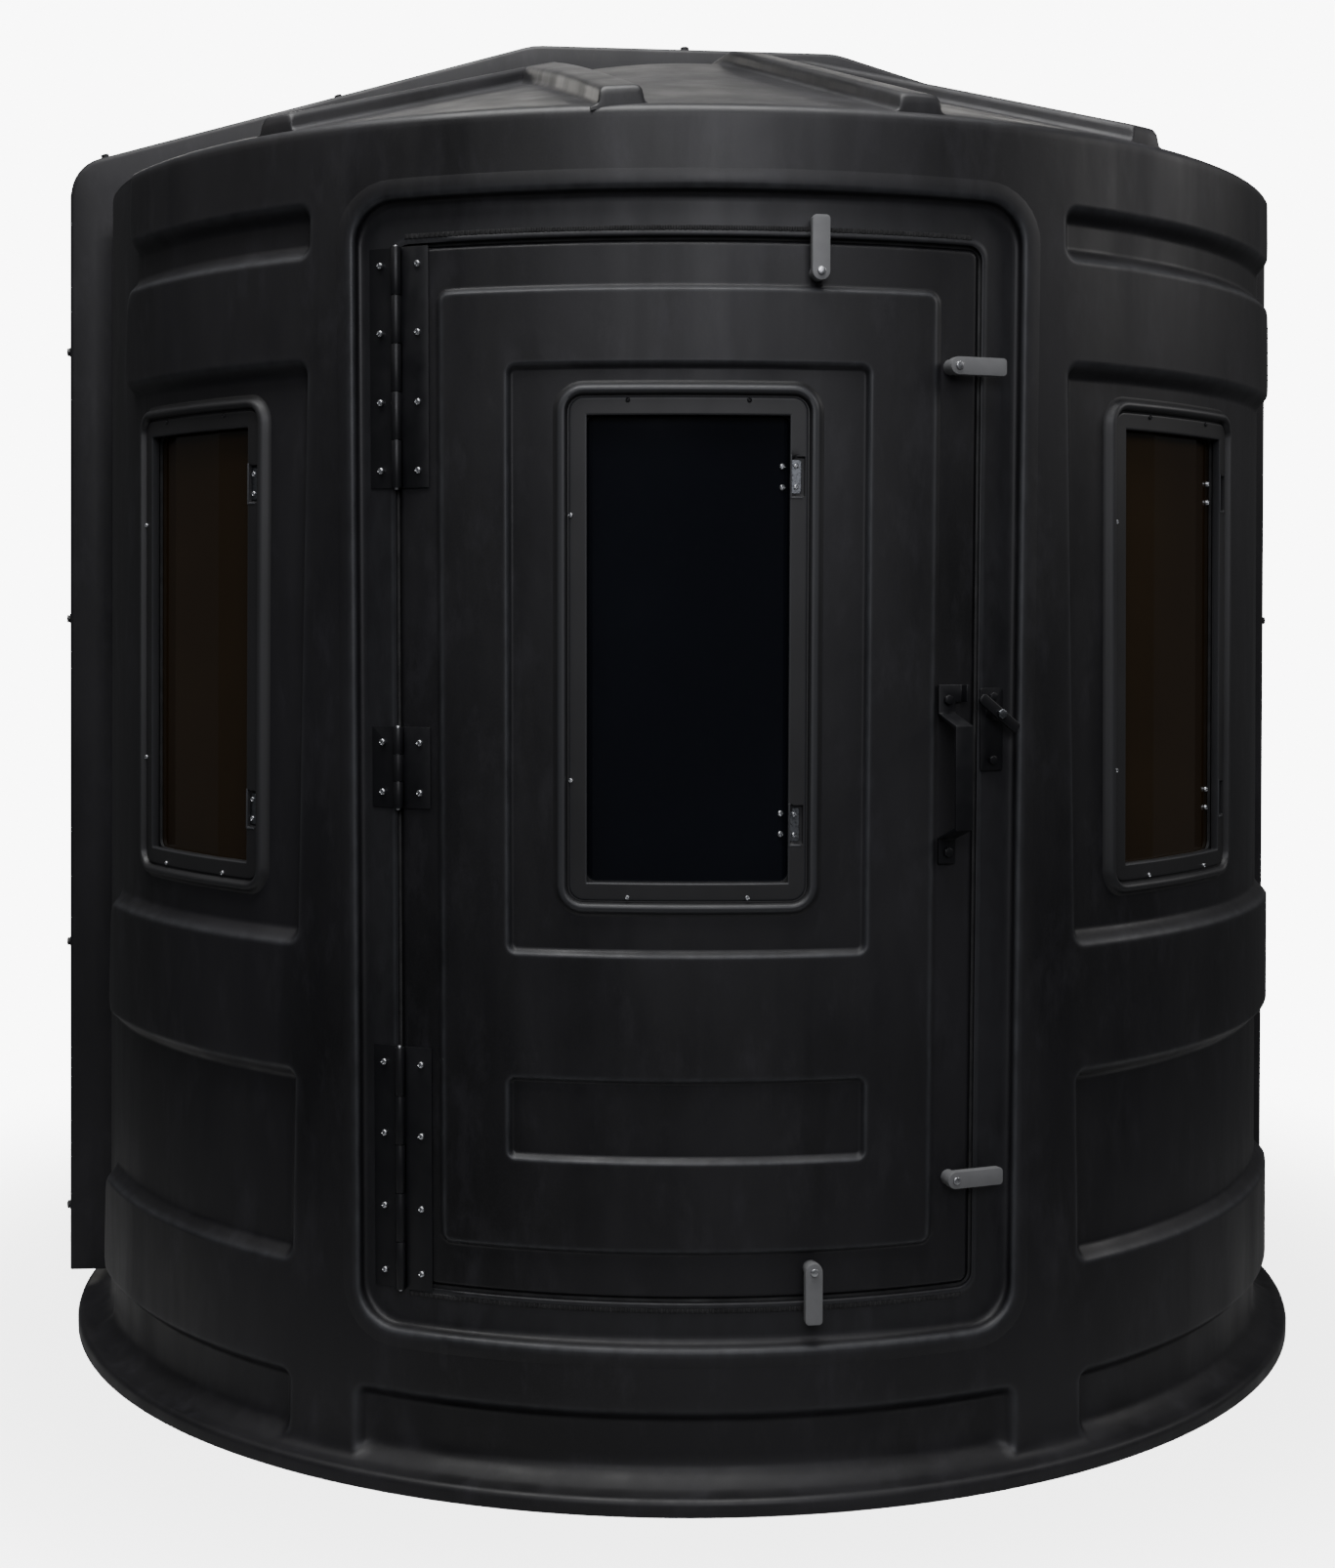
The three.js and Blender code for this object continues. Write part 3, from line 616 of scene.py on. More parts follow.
SHELL = shell_plastic()
FRAME = frame_plastic()
STEEL = black_steel()
ZINC = zinc("zinc_plate", (0.40, 0.41, 0.43), (0.58, 0.59, 0.61))
DULL_ZINC = zinc("dull_zinc", (0.16, 0.17, 0.18), (0.24, 0.25, 0.27))
RUBBER = rubber()
GRIP = grey_plastic()
DOOR_GLASS = tinted_glass("door_glass", (0.0038, 0.0044, 0.0066), (0.0048, 0.0056, 0.0082))
SIDE_GLASS = tinted_glass("side_glass", (0.0165, 0.0098, 0.0042), (0.0210, 0.0128, 0.0054))
FLOOR = floor_mat()


# ---- the half shells ------------------------------------------------------------------------
BAND_EDGE = 23  # width of the rounded step between a raised band and a sunk field
BAND_CORNER = 11
EAVE_EDGE = 1741  # height of the thin painted highlight along the eave
PAST_BAND = 6  # how far, in degrees, the sunk fields run on past the ends of the raised bands


def field_distance(angle, z, left, right, low, high):
    """Signed distance from a sunk field between two angles and two heights, in millimetres."""
    per_degree = math.radians(1) * wall_radius(z)
    across = np.maximum((left - angle) * per_degree, (angle - right) * per_degree)
    up = np.maximum(low - z, z - high)
    return corner_distance(across, up, BAND_CORNER)


def blended(first, second, reach):
    """The smaller of two distances, with the corner where they cross rounded off."""
    overlap = np.maximum(reach - np.abs(first - second), 0) / reach
    return np.minimum(first, second) - overlap**2 * reach / 4


def wall_relief(angle, z):
    """Offset of the wall's outer surface, and how close each point is to a raised edge, which is painted as
    a highlight along it.
    """
    left, right = band_ends(z)
    column = column_edge(z)
    distance = field_distance(angle, z, -SKIRT_ANGLE, SKIRT_ANGLE, *SUNK_ROWS[0])
    for low, high in SUNK_ROWS:
        for start, end in ((left - PAST_BAND, -column), (column, right + PAST_BAND)):
            distance = np.minimum(distance, field_distance(angle, z, start, end, low, high))
    per_degree = math.radians(1) * wall_radius(z)
    past_end = np.minimum(angle - left, right - angle) * per_degree
    channel = corner_distance(past_end, SUNK_ROWS[0][0] - z, BAND_CORNER)
    distance = blended(distance, channel, 24)
    # A painted highlight along the rounded top of each raised edge, mixed with wear.
    highlight_and_wear = np.exp(-(((distance - 0.3 * BAND_EDGE) / 4.5) ** 2))
    return -RELIEF * step_in(distance, BAND_EDGE), highlight_and_wear * 0.55


def shell_profile():
    """Heights and radii up the wall and in over the roof, with rounded eave and plateau."""
    edges = [height for row in SUNK_ROWS for height in row]
    wall_z = lines(48, WALL_TOP, 15, edges)
    foot = [(RIM_RADIUS, 0), (RIM_RADIUS, 4), (RIM_RADIUS, 14), (RIM_RADIUS - 1.5, 18.5)]
    foot += [(RIM_RADIUS - 5, 21.5), (RIM_RADIUS - 9, 22.5), (wall_radius(26) + 14, 24)]
    foot += [(wall_radius(30) + 7.5, 27), (wall_radius(34) + 3.5, 32), (wall_radius(40) + 0.8, 39)]
    wall = [(wall_radius(z), z) for z in wall_z]
    top = wall_radius(WALL_TOP)
    eave = [(top - 0.2, 1729), (top - 0.5, 1735), (top - 1.5, 1739), (top - 3.6, 1742.4)]
    eave += [(top - 7, 1745), (top - 11.5, 1747.1), (EAVE[0] + 2, 1749.3)]
    slope = [(r, float(roof_height(np.float64(r)))) for r in np.linspace(EAVE[0] - 12, PLATEAU[0] + 40, 36)]
    crown = [(278, 1947.6), (266, 1950.6), (252, 1953.2), (235, 1955.0)]
    top_disc = [(r, float(roof_height(np.float64(r)))) for r in (210, 180, 150, 120, 80, 40, 2)]
    return np.array(foot + wall + eave + slope + crown + top_disc)


def shell_columns():
    """Column positions across a half shell, before they lean to follow the band ends."""
    edges = [s * a for s in (-1, 1) for a in (np.mean(COLUMN), SKIRT_ANGLE)]
    edges += band_ends(WALL_TOP / 2)
    return lines(SEAM - 90, SEAM + 90, 0.9, edges, 0.9, 0.16)


def half_shell(name, turn, with_doorway):
    profile = shell_profile()
    column = shell_columns()
    r = np.repeat(profile[:, :1], len(column), 1)
    z = np.repeat(profile[:, 1:], len(column), 1)
    left, right = band_ends(WALL_TOP / 2)
    fixed = [SEAM - 90, left, -np.mean(COLUMN), np.mean(COLUMN), right, SEAM + 90]
    angle = np.empty_like(z)
    for i, height in enumerate(np.minimum(profile[:, 1], WALL_TOP)):
        left, right = band_ends(height)
        leaning = [SEAM - 90, left, -column_edge(height), column_edge(height), right, SEAM + 90]
        angle[i] = np.interp(column, fixed, leaning)
    relief, highlight_and_wear = wall_relief(angle, z)
    on_roof = profile[:, 1] > EAVE[1]
    relief[on_roof] = 0
    highlight_and_wear[on_roof] = 0
    highlight_and_wear[profile[:, 1] < SUNK_ROWS[0][0]] = 0
    outer = np.where(z > WALL_TOP, np.minimum(r, wall_radius(z) + relief), r + relief)
    outer[on_roof] = r[on_roof]
    # A thin painted highlight along the eave; none on the roof or below the lowest sunk row.
    eave_highlight = np.exp(-(((z - EAVE_EDGE) / 4) ** 2)) * 0.16
    highlight_and_wear = np.maximum(highlight_and_wear, np.where(on_roof[:, None], 0, eave_highlight))

    tangent = np.gradient(profile, axis=0)
    tangent /= np.linalg.norm(tangent, axis=1)[:, None]
    normal = np.stack([tangent[:, 1], -tangent[:, 0]], -1)
    inner = outer - normal[:, :1] * SKIN
    inner_z = z - normal[:, 1:] * SKIN
    solid_foot = smooth((70 - z) / 30)
    inner = inner + solid_foot * (wall_radius(z) + INSIDE - inner)
    inner_z = np.where(z < 70, z, inner_z)
    inner = np.maximum(inner, 1)

    def place(radius, height):
        a = np.radians(angle + turn)
        return np.stack([radius * np.sin(a), -radius * np.cos(a), height], -1)

    keep = np.ones((len(profile) - 1, len(column) - 1), bool)
    mid_angle = (angle[:-1, :-1] + angle[1:, 1:]) / 2
    mid_z = (z[:-1, :-1] + z[1:, 1:]) / 2
    mid_r = (outer[:-1, :-1] + outer[1:, 1:]) / 2
    for side in (-SIDE_WINDOW, SIDE_WINDOW):
        across = mid_r * np.sin(np.radians(mid_angle - side))
        facing_out = np.abs(mid_angle - side) < 60
        keep &= ~((outline_distance(across, mid_z, BEZEL, -8) < 0) & facing_out)
    if with_doorway:
        across = mid_r * np.sin(np.radians(mid_angle))
        keep &= ~((outline_distance(across, mid_z, LIP, 10) < 0) & (np.abs(mid_angle) < 60))
    points, faces, used = two_skins(place(outer, z), place(inner, inner_z), keep)
    shade = np.concatenate([highlight_and_wear.ravel(), np.zeros(highlight_and_wear.size)])[used]
    ribs = [roof_rib(foot, head, turn) for foot, head in RIBS]
    fin = seam_fin(turn)
    all_points, all_faces = joined([(points, faces), *ribs, fin])
    extra = len(all_points) - len(points)
    shade = np.concatenate([shade, np.zeros(extra)])
    return make_piece(name, all_points, all_faces, SHELL, "shell", 50, shade)


def roof_rib(foot, head, turn):
    """One straight rib on the roof with flared sides, a square end over the eave and a ramp."""

    def spot(angle, r):
        a = math.radians(angle + turn)
        return np.array([r * math.sin(a), -r * math.cos(a)])

    start = spot(*foot)
    along = spot(*head) - start
    length = float(np.linalg.norm(along))
    along = along / length
    sideways = np.array([-along[1], along[0]])
    half = RIB_WIDTH / 2
    section = [(half + 11, -2), (half + 5, 0.5), (half + 1.8, 3), (half + 0.4, 7), (half - 0.5, 13)]
    section += [(half - 1.8, 17.5), (half - 4.5, 20.6), (half - 9, RIB_PROUD), (half * 0.3, RIB_PROUD)]
    section = section + [(-w, h) for w, h in reversed(section)]
    stations = [(0.0, -0.9), (0.3, 0.0), (0.8, 0.45), (2.2, 0.82), (5.0, 0.97), (9.0, 1.0)]
    ramp_start = length - RIB_RAMP
    stations += [(s, 1.0) for s in np.arange(25, ramp_start - 8, 20)]
    stations += [(ramp_start + t * RIB_RAMP, 1.0 - smooth(t)) for t in np.linspace(0, 1, 9)]
    rows = []
    for s, share in stations:
        centre = start + along * s
        w, h = np.array(section).T
        plan = centre + w[:, None] * sideways
        surface = roof_height(np.hypot(plan[:, 0], plan[:, 1]))
        height = np.where(h > 0, h * share, h)
        cap = PLATEAU[1] + 12 + 0.25 * (h - RIB_PROUD)
        top = np.minimum(surface + height, np.maximum(cap, surface - 1))
        rows.append(np.column_stack([plan, top]))
    upper = np.array(rows)
    under = upper.copy()
    under[:, :, 2] = np.minimum(upper[:, :, 2], roof_height(np.hypot(under[:, :, 0], under[:, :, 1]))) - 4
    keep = np.ones((upper.shape[0] - 1, upper.shape[1] - 1), bool)
    points, faces, _ = two_skins(upper, under, keep)
    return points, faces


def fin_paths():
    """Outer edge and foot of the seam flange on one side, as equal lists of (radius, height)."""
    outer, inner = [], []
    shoulder = FIN_EAVE - FIN_SHOULDER
    edge = wall_radius(FIN_EAVE) + FIN_PROUD
    for z in np.linspace(FIN_FOOT, shoulder, 26):
        outer.append((wall_radius(z) + FIN_PROUD, z))
        inner.append((wall_radius(min(z, WALL_TOP)) + JAMB - 5, min(z, WALL_TOP)))
    for t in np.linspace(0, 1, 9)[1:]:
        turn = t * math.radians(90 - 15.5)
        centre = edge - FIN_SHOULDER
        outer.append((centre + FIN_SHOULDER * math.cos(turn), shoulder + FIN_SHOULDER * math.sin(turn)))
        inner.append((EAVE[0] - 6 - 20 * t, WALL_TOP + 30 * t))
    last = outer[-1]
    for t in np.linspace(0, 1, 16)[1:]:
        r = last[0] + (PLATEAU[0] - last[0]) * t
        outer.append((r, last[1] + (FIN_PEAK - 4 - last[1]) * t))
        inner.append((r, float(roof_height(np.float64(r))) - 6))
    outer += [(PLATEAU[0] - 14, FIN_PEAK - 1), (PLATEAU[0] - 30, FIN_PEAK), (0, FIN_PEAK)]
    inner += [(r, ROOF_TOP - 8) for r in (PLATEAU[0] - 14, PLATEAU[0] - 30, 0)]
    return outer, inner


def seam_fin(turn):
    """The flange along one half's edge: rounded outside, flared into the wall and roof."""
    outer, inner = fin_paths()
    outer = np.array(outer + [(-r, z) for r, z in outer[-2::-1]])
    inner = np.array(inner + [(-r, z) for r, z in inner[-2::-1]])
    section = [(1.0, 34), (0.93, 24), (0.86, 18), (0.75, 15), (0.5, FIN_THICKNESS)]
    section += [(0.08, FIN_THICKNESS), (0.03, 12.6), (0.0, 9.5), (0.0, 3.2), (0.02, 1.0)]
    section += [(0.06, 0.3), (1.0, 0.3)]
    across, out = facing(SEAM + turn)
    rows = []
    for (ro, zo), (ri, zi) in zip(outer, inner):
        row = []
        for share, thick in section:
            depth = share
            if share > 0.5:
                depth = 1 - (1 - share) * 60 / max(math.hypot(ro - ri, zo - zi), 60)
            r = ro + (ri - ro) * depth
            z = zo + (zi - zo) * depth
            row.append(r * across + thick * out + np.array([0, 0, z]))
        rows.append(row)
    return capped(rows)


def seam_bolts():
    """Bolt heads on the outer edge of the seam, up both sides and over the roof."""
    across, out = facing(SEAM)
    parts = []
    spots = [(wall_radius(z) + FIN_PROUD, z, 0) for z in (152, 589, 1113, 1537)]
    slope = 15.5
    rise = math.tan(math.radians(slope))
    crest = FIN_EAVE - FIN_SHOULDER + FIN_SHOULDER * math.cos(math.radians(slope))
    start = wall_radius(FIN_EAVE) + FIN_PROUD - FIN_SHOULDER * (1 - math.sin(math.radians(slope)))
    spots += [(start - run, crest + rise * run, 90 - slope) for run in (8, 375)]
    for side in (-1, 1):
        for r, z, tilt in spots:
            a = math.radians(tilt)
            axis = Vector(across * side * math.cos(a)) + Vector((0, 0, math.sin(a)))
            sideways = Vector(out)
            spot = across * side * r + np.array([0, 0, z])
            matrix = axes_matrix(sideways, axis.cross(sideways), axis, spot)
            parts.append(moved(hex_head(), matrix))
    parts.append(moved(hex_head(), Matrix.Translation((0, 0, FIN_PEAK))))
    make_group("seam_bolts", parts, STEEL, "shell", 30)


# ---- doorway, door and windows --------------------------------------------------------------
def rungs(outline, step, edges=()):
    return lines(outline["low"], outline["high"], step, edges, 3, 1.0)[1:-1]


def doorway():
    """The sunk doorway field: a rounded lip, the jamb and the turned-in flange at the opening."""
    to_door = LIP["half"] - DOOR["half"]
    seat = DOOR_GAP + 0.6
    lip = [(24, -1.2), (20, 0.25), (9, 0.3), (4, 0.3), (1, -0.5), (-1.5, -2.4), (-3.2, -5.5)]
    lip += [(-4.3, -9.5), (-5.6, -13.5), (-8, -16.3), (-12, -17.8), (-17, -18)]
    jamb = [(seat + 9, JAMB), (seat + 7, JAMB + 0.3), (seat + 6, JAMB + 1.6), (seat + 2.2, JAMB + 1.8)]
    jamb += [(seat + 0.6, JAMB + 1.0), (seat, JAMB - 1), (seat, JAMB - 4)]
    jamb += [(seat + 10, JAMB - 4.5), (seat + 14, INSIDE)]
    profile = lip + [(grow - to_door, offset) for grow, offset in jamb] + [(2, INSIDE), (14, -9), (22, -9)]
    # Painted light: the high values are a highlight on the lip's rounded edge and on the small step by the
    # opening; the values near 0.15 lighten the shaded jamb.
    highlight_and_wear = [0, 0, 0.1, 0.35, 0.75, 0.8, 0.4, 0, 0, 0, 0.14, 0.17]
    highlight_and_wear += [0.17, 0.35, 0.6, 0.2, 0.3, 0, 0, 0, 0, 0, 0, 0]

    def adjust(x, grow, level):
        """The small step beside the opening is left out under the hinges."""
        raised = level > JAMB + 0.05
        near = grow < -to_door + seat + 9
        return np.where(near & raised & (x < -300), JAMB, level)

    points, faces, shade = door_ring(profile, highlight_and_wear, adjust)
    make_piece("doorway_frame", points, faces, SHELL, "shell", 50, shade)


def door_ring(profile, highlight_and_wear, adjust):
    """A band that runs from the lip's outline in to the door's, which isn't quite parallel to it."""
    rings = []
    span = np.linspace(0, 1, 70)[1:-1]
    full = LIP["half"] - DOOR["half"]
    for grow, offset in profile:
        share = min(max(-grow / full, 0), 1)
        extra = max(grow, 0) + (grow + full if grow < -full else 0)
        shape = {key: LIP[key] + (DOOR[key] - LIP[key]) * share for key in ("half", "low", "high")}
        shape["corner"] = LIP["corner"] + (DOOR["corner"] + 6 - LIP["corner"]) * smooth(share)
        local = shape["low"] + (shape["high"] - shape["low"]) * span
        x, z = loop_points(shape, extra, local, 60)
        rings.append(on_wall(x, z, adjust(x, grow, np.full_like(x, offset))))
    return looped(rings, highlight_and_wear)


def door_relief(x, z):
    """Offset of the door's outer skin, and a painted highlight with wear along the raised edges of its
    fields.
    """
    field = step_in(outline_distance(x, z, FIELD), 9)
    surround = step_in(outline_distance(x, z, SURROUND), 9)
    plain = step_in(outline_distance(x, z, NAME_FIELD), 9)
    level = JAMB + FIELD_PROUD * field * (1 - surround) * (1 - plain)
    edge = outline_distance(x, z, DOOR)
    level = level - 5 * smooth(1 + edge / 6) ** 2
    # Painted highlight along the rims of the raised field, the surround and the name field.
    highlight_and_wear = 0
    for outline, sign in ((FIELD, -1), (SURROUND, 1), (NAME_FIELD, 1)):
        distance = outline_distance(x, z, outline) * sign
        highlight_and_wear = np.maximum(highlight_and_wear, np.exp(-(((distance - 2.5) / 3) ** 2)) * 0.8)
    return level, highlight_and_wear


def rounded_corners(x, z, outline):
    """Pulls a rectangular grid's corners in to the outline's round ones."""
    corner = outline["corner"]
    middle = (outline["low"] + outline["high"]) / 2
    tall = (outline["high"] - outline["low"]) / 2
    u = np.clip((np.abs(x) - outline["half"] + corner) / corner, 0, 1)
    v = np.clip((np.abs(z - middle) - tall + corner) / corner, 0, 1)
    inside = (u > 0) & (v > 0)
    new_u = np.where(inside, u * np.sqrt(1 - v**2 / 2), u)
    new_v = np.where(inside, v * np.sqrt(1 - u**2 / 2), v)
    new_x = np.where(inside, np.sign(x) * (outline["half"] - corner + corner * new_u), x)
    new_z = np.where(inside, middle + np.sign(z - middle) * (tall - corner + corner * new_v), z)
    return new_x, new_z


def door():
    half = DOOR["half"]
    x_edges = [s * o["half"] for s in (-1, 1) for o in (FIELD, SURROUND)] + [-half + 4, half - 4]
    z_edges = [o[k] for o in (FIELD, SURROUND, NAME_FIELD) for k in ("low", "high")]
    z_edges += [DOOR["low"] + 4, DOOR["high"] - 4]
    columns = lines(-half, half, 14, x_edges, 10, 1.6)
    rows = lines(DOOR["low"], DOOR["high"], 14, z_edges, 10, 1.6)
    x, z = np.meshgrid(columns, rows)
    x, z = rounded_corners(x, z, DOOR)
    front, highlight_and_wear = door_relief(x, z)
    pocket = dict(half=WINDOW["half"] + 50, low=WINDOW["low"] - 20, high=WINDOW["high"] + 20, corner=8)
    back_level = JAMB - DOOR_THICKNESS
    behind = step_in(outline_distance(x, z, pocket), 8)
    back = back_level + (INSIDE - back_level) * behind
    panel = step_in(outline_distance(x, z, dict(half=296, low=330, high=640, corner=24)), 14)
    back = back + 7 * panel + 3 * smooth(1 + outline_distance(x, z, DOOR) / 6)
    mid_x = (x[:-1, :-1] + x[1:, 1:]) / 2
    mid_z = (z[:-1, :-1] + z[1:, 1:]) / 2
    keep = outline_distance(mid_x, mid_z, BEZEL, -9) > 0
    points, faces, used = two_skins(on_wall(x, z, front), on_wall(x, z, back), keep)
    shade = np.concatenate([highlight_and_wear.ravel(), np.zeros(highlight_and_wear.size)])[used]
    piece = make_piece("door_shell", points, faces, SHELL, "door", 50, shade)
    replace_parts(piece, "door_panel")


POCKET_HALF = 25  # half height of the sunk hinge pocket in a window frame
HINGE_SCREW_RISE = 13
FRAME_FACE = JAMB + 3  # offset of the flat part of a window frame
FRAME_SCREWS = dict(across=75, inset=18, heights=(919, 1249))


def window_bezel(name, angle, body):
    """The rounded bead round a window and the flat frame inside it, with two hinge pockets."""
    face = FRAME_FACE
    reach = BEZEL["half"] - WINDOW["half"]
    bead = [(8, JAMB - 0.6), (4.5, JAMB + 0.8), (2, JAMB + 3.4), (0.2, JAMB + 6.8), (-2, JAMB + 9.2)]
    bead += [(-5, JAMB + 10), (-8, JAMB + 9.2), (-9.8, JAMB + 6.6), (-11, JAMB + 2.8)]
    bead += [(-12, JAMB + 0.6), (-13.6, JAMB + 0.4), (-14.2, JAMB + 1.6), (-14.8, face - 0.3)]
    bead += [(-15.8, face)]
    flat = [(-17.2, face), (-18.0, face), (-22, face), (-28, face), (-33.2, face), (-34.0, face)]
    flat += [(-reach + 0.8, face - 0.1), (-reach, face - 0.9), (-reach, INSIDE + 0.3)]
    profile = bead + flat + [(6, INSIDE + 0.3), (8, INSIDE + 2)]
    # Painted highlight on the bead's rounded top and on the flat's inner edge, weaker on the side windows.
    bead_highlight = 1.0 if name == "door_window" else 0.3
    highlight_and_wear = [w * bead_highlight for w in (0, 0, 0.1, 0.5, 0.8, 0.5, 0.5, 0.2, 0, 0, 0, 0.5, 0.7, 0.3)]
    highlight_and_wear += [0, 0, 0, 0, 0, 0, 0.5, 0.5, 0] + [0, 0]
    centre = (BEZEL["low"] + BEZEL["high"]) / 2
    tall = BEZEL["high"] - BEZEL["low"]
    stretch = tall / (tall - 2 * BEZEL["corner"])  # the flat's upright sides are shorter than the bead's
    ends = [middle + side * POCKET_HALF for middle in WINDOW_HINGES for side in (-1, 1)]
    edges = [centre + (end - centre) * stretch for end in ends]

    def adjust(x, z, grow, level):
        inner = -33.5 < grow < -17.6
        if not inner:
            return level
        deep = np.zeros_like(x)
        for middle in WINDOW_HINGES:
            inside = POCKET_HALF - np.abs(z - middle)
            deep = np.maximum(deep, smooth(inside / 2.0))
        return np.where(x > WINDOW["half"] - 2, level - 5.5 * deep, level)

    points, faces, shade = swept_ring(BEZEL, profile, angle, rungs(BEZEL, 16, edges), 24, adjust, highlight_and_wear)
    make_piece(f"{name}_frame", points, faces, FRAME, body, 45, shade)


def window_hardware(name, angle, body):
    """Pan-head screws round the frame, and a plate with screws in each hinge pocket."""
    face = FRAME_FACE
    across, inset = FRAME_SCREWS["across"], FRAME_SCREWS["inset"]
    # The top screws are black steel and the rest zinc: painted shade on the top ones, which sit under the
    # frame's top.
    top_heads = heads(3.0, 2.2, [(x, BEZEL["high"] - inset) for x in (-across, across)], face, angle)
    make_group(f"{name}_frame_top_screws", top_heads, STEEL, body)

    pin_x, pane_x = WINDOW["half"] + 7.5, WINDOW["half"] - 9
    rises = [z + side * HINGE_SCREW_RISE for z in WINDOW_HINGES for side in (-1, 1)]
    spots = [(x, BEZEL["low"] + inset) for x in (-across, across)]
    spots += [(-BEZEL["half"] + 16, z) for z in FRAME_SCREWS["heights"]]
    frame_heads = heads(3.0, 2.2, spots, face, angle)
    frame_heads += heads(3.4, 2.2, [(pin_x, z) for z in rises], face - 4.4, angle)
    make_group(f"{name}_frame_screws", frame_heads, ZINC, body)

    plates, rims = [], []
    edge = dict(offset=face - 0.4, thick=1.3, angle=angle, corner=1)
    for middle in WINDOW_HINGES:
        plates.append(soft_plate(pin_x, middle, 6.5, POCKET_HALF - 4, face - 5.3, 1.2, angle, 3))
        rims.append(soft_plate(WINDOW["half"] + 1.4, middle, 1.1, POCKET_HALF + 2, **edge))
        rims.append(soft_plate(pin_x + 1, middle - POCKET_HALF - 1, 7.5, 1.1, **edge))
    make_group(f"{name}_hinge_plates", plates, DULL_ZINC, body)
    # The pocket rims are painted pale all over as a highlight.
    make_group(f"{name}_pocket_rims", rims, FRAME, body, worn_and_lit=1)
    pane_heads = heads(3.8, 2.6, [(pane_x, z) for z in rises], INSIDE - 5, angle)
    make_group(f"{name}_pane_screws", pane_heads, ZINC, name)


LIP_GAP = 0.9  # left between the gasket's lip and the door's edge


def gasket():
    """Ribbed rubber strip in the doorway, with fine teeth along its top and bottom runs."""
    inner, outer = DOOR_GAP + 0.3, DOOR_GAP + GASKET
    top = JAMB - 4.8
    profile = [(outer, INSIDE - 17), (outer, top - 1.5), (outer - 1, top - 0.3), (outer - 2.6, top)]
    profile += [(inner + 2.2, top - 0.4), (inner - 0.6, top - 1.3), (LIP_GAP + 0.2, top - 2.6)]
    profile += [(LIP_GAP, top - 3.6), (inner - 0.6, top - 4.8), (inner + 0.6, top - 10)]
    profile += [(inner, INSIDE - 17)]

    def adjust(x, z, grow, level):
        teeth = np.cos(x * 2 * math.pi / 7)
        on_run = (np.abs(x) < DOOR["half"]) & ((z > DOOR["high"]) | (z < DOOR["low"]))
        soft = outer - 4.5 < grow < outer - 0.5
        return np.where(on_run & (teeth < 0) & soft, level - 2.4, level)

    points, faces, shade = swept_ring(DOOR, profile, 0, rungs(DOOR, 14), 420, adjust)
    piece = make_piece("door_gasket_strip", points, faces, RUBBER, "shell", 50, shade)
    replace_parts(piece, "door_gasket")
    toothed_strips()


def toothed_strips():
    """The gasket's ribbed retaining edge, which shows on the jamb above and below the door."""
    pitch, reach, wide = 6.5, DOOR["half"] - 8, 3.2
    stations = np.arange(-reach, reach, pitch / 4)
    tooth = np.array([0.5, 2.0, 2.0, 0.5])[np.arange(len(stations)) % 4]
    section = ((-1, 0.0), (-0.8, 0.75), (0, 1.0), (0.8, 0.75), (1, 0.0))
    keep = np.ones((len(section) - 1, len(stations) - 1), bool)
    parts = []
    for z in (DOOR["high"] + DOOR_GAP + GASKET + 1.5, DOOR["low"] - DOOR_GAP - GASKET - 1.5):
        upper = [on_wall(stations, z + share * wide, JAMB + 0.3 + lift * tooth) for share, lift in section]
        under = [on_wall(stations, z + share * wide, JAMB - 1) for share, lift in section]
        parts.append(two_skins(np.array(upper), np.array(under), keep)[:2])
    make_group("gasket_teeth", parts, RUBBER, "shell", 30)


# ---- hardware -------------------------------------------------------------------------------
def refined(node, width, material, segments=2):
    """A smooth copy of a CAD node that stands for it, bevelled if a width is given."""
    source = frame["nodes"][node]
    work = bmesh.new()
    work.from_mesh(source.data)
    bmesh.ops.remove_doubles(work, verts=work.verts, dist=2e-5)
    bmesh.ops.dissolve_limit(work, angle_limit=math.radians(1.5), verts=work.verts, edges=work.edges)
    if width:
        sharp = [e for e in work.edges if e.is_manifold and e.calc_face_angle(0) > math.radians(32)]
        bevel = dict(segments=segments, profile=0.5, affect="EDGES", clamp_overlap=True)
        bmesh.ops.bevel(work, geom=sharp, offset=width * MM, **bevel)
    bmesh.ops.triangulate(work, faces=[f for f in work.faces if len(f.verts) > 4])
    mesh = bpy.data.meshes.new(f"{node}_finished")
    work.to_mesh(mesh)
    work.free()
    mesh.shade_smooth()
    mesh.set_sharp_from_angle(angle=math.radians(38 if width else 12))
    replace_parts(ride(f"{node}_finished", mesh, source["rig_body"], material), node)


def door_hardware():
    for place, heights in HINGE_SCREWS.items():
        refined(f"door_hinge_{place}_frame_leaf", 0.8, STEEL)
        refined(f"door_hinge_{place}_door_leaf", 0.8, STEEL)
        refined(f"door_hinge_{place}_pin", 0.8, ZINC)
        for side, body, label in ((-1, "shell", "frame"), (1, "door", "door")):
            x = HINGE_X + side * 25
            parts = heads(4.2, 2.6, [(x, z) for z in heights], JAMB + 3.4)
            make_group(f"door_hinge_{place}_{label}_screws", parts, ZINC, body)
    for place in TURN_HANDLES:
        refined(f"turn_handle_{place}", 2.2, GRIP, 3)
        refined(f"turn_handle_{place}_screw", 0.8, ZINC)
    refined("pull_handle", 0.9, STEEL, 3)
    refined("latch_keeper", 0.8, STEEL)
    refined("latch_lever", 1.0, STEEL)
    for node in ("pull_handle_bolt", "latch_keeper_bolt"):
        for place in ("upper", "lower"):
            refined(f"{node}_{place}", 0.8, STEEL)
    refined("latch_lever_bolt", 0.8, DULL_ZINC)


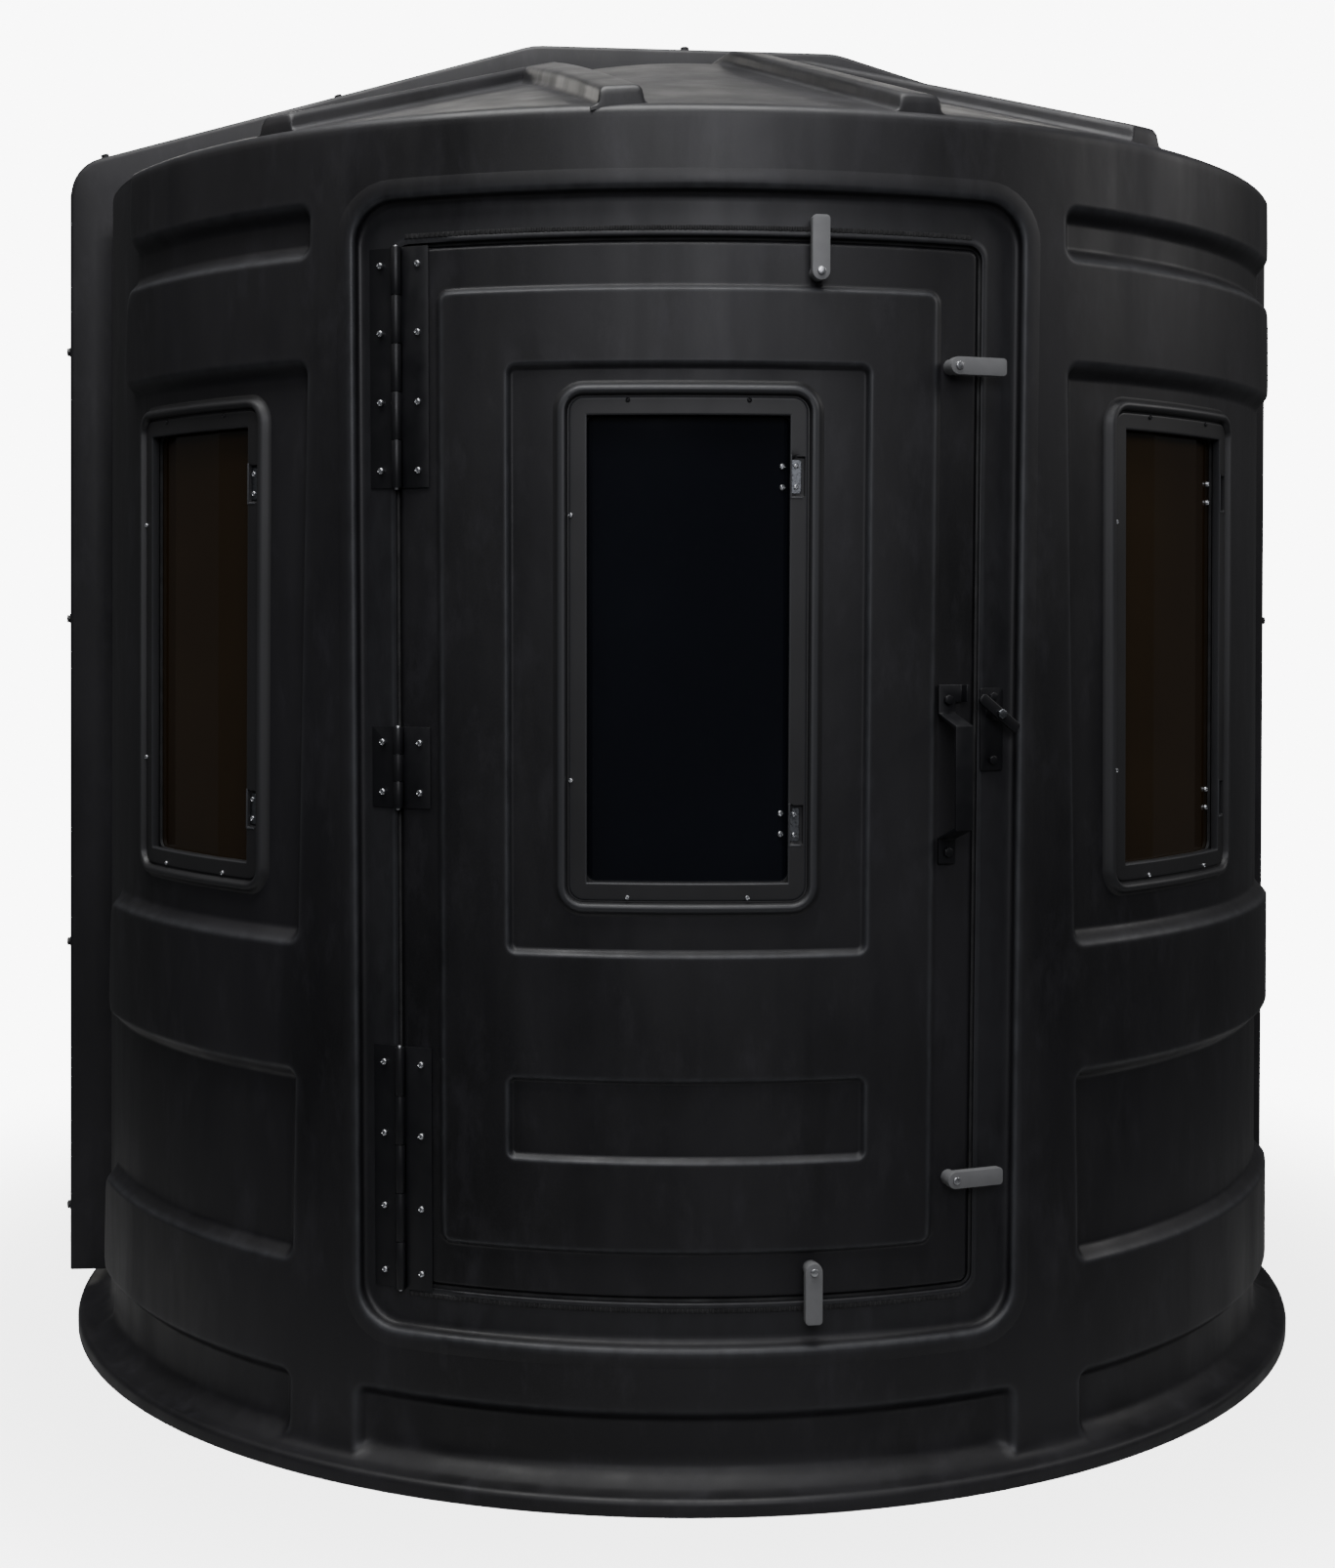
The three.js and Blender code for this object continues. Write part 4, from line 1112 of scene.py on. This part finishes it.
def windows():
    for name, angle in WINDOWS.items():
        body = "door" if name == "door_window" else "shell"
        window_bezel(name, angle, body)
        window_hardware(name, angle, body)
        refined(f"{name}_catch", 2.0, STEEL, 3)
        for place in ("lower", "upper"):
            refined(f"{name}_hinge_{place}", 1.2, STEEL)
        refined(f"{name}_pane", 0, DOOR_GLASS if name == "door_window" else SIDE_GLASS)
        finish_node(f"{name}_seal", RUBBER)


def finish_node(node, material):
    mesh = frame["nodes"][node].data
    mesh.materials.clear()
    mesh.materials.append(material)


# ---- studio ---------------------------------------------------------------------------------
def camera():
    data = bpy.data.cameras.new("camera")
    data.lens = 50.23
    data.sensor_width = 36
    data.clip_end = 60
    holder = new_object("camera", data)
    down = math.radians(4.72)
    roll = 0.0023
    place = Matrix.Translation(Vector((-0.025, -3.640, 1.140)))
    aim = Matrix.Rotation(math.pi / 2 - down, 4, "X") @ Matrix.Rotation(roll, 4, "Z")
    holder.matrix_world = place @ aim
    bpy.context.scene.camera = holder


def area_light(name, place, target, size, power, colour=(1, 1, 1)):
    data = bpy.data.lights.new(name, "AREA")
    data.shape = "RECTANGLE"
    data.size, data.size_y = size
    data.energy = power
    data.color = colour
    holder = new_object(name, data)
    aim = (Vector(target) - Vector(place)).to_track_quat("-Z", "Y")
    holder.matrix_world = Matrix.LocRotScale(Vector(place), aim, None)


def studio():
    """Pale floor, soft side and top light, and a white surround that is dim in reflections."""
    mesh = bpy.data.meshes.new("studio_floor")
    work = bmesh.new()
    bmesh.ops.create_circle(work, cap_ends=True, radius=9, segments=96)
    work.to_mesh(mesh)
    work.free()
    mesh.materials.append(studio_floor())
    ground = new_object("studio_floor", mesh)
    ground.location.z = -0.001

    area_light("front", (0.25, -4.6, 2.9), (0, 0, 1.0), (3.0, 1.5), 82, (0.95, 0.95, 1))
    area_light("right", (3.6, -0.5, 2.9), (0, 0, 1.2), (1.8, 1.2), 30, (1, 0.98, 0.97))
    area_light("left", (-3.5, -0.7, 3.5), (0, 0, 1.2), (1.6, 1.2), 6, (1, 0.95, 0.88))
    area_light("top", (-0.4, -1.2, 4.6), (-0.1, -0.5, 0.5), (3.2, 2.8), 245)
    area_light("back", (-0.4, 4.2, 3.0), (0, 0, 1.7), (4.5, 1.8), 120, (1, 0.97, 0.92))

    world = bpy.data.worlds.new("surround")
    bpy.context.scene.world = world
    world.use_nodes = True
    tree = world.node_tree
    tree.nodes.clear()
    seen = tree.nodes.new("ShaderNodeBackground")
    seen.inputs["Color"].default_value = (1, 1, 1, 1)
    seen.inputs["Strength"].default_value = 9.0
    reflected = tree.nodes.new("ShaderNodeBackground")
    reflected.inputs["Color"].default_value = (0.95, 0.97, 1, 1)
    reflected.inputs["Strength"].default_value = 0.075
    path = tree.nodes.new("ShaderNodeLightPath")
    mix = tree.nodes.new("ShaderNodeMixShader")
    out = tree.nodes.new("ShaderNodeOutputWorld")
    tree.links.new(path.outputs["Is Camera Ray"], mix.inputs["Fac"])
    tree.links.new(reflected.outputs[0], mix.inputs[1])
    tree.links.new(seen.outputs[0], mix.inputs[2])
    tree.links.new(mix.outputs[0], out.inputs["Surface"])


# ---- assembly -------------------------------------------------------------------------------
camera()
studio()
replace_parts(half_shell("front_shell_skin", 0, True), "front_shell")
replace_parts(half_shell("rear_shell_skin", 180, False), "rear_shell")
seam_bolts()
doorway()
door()
gasket()
windows()
door_hardware()
finish_node("floor_panel", FLOOR)
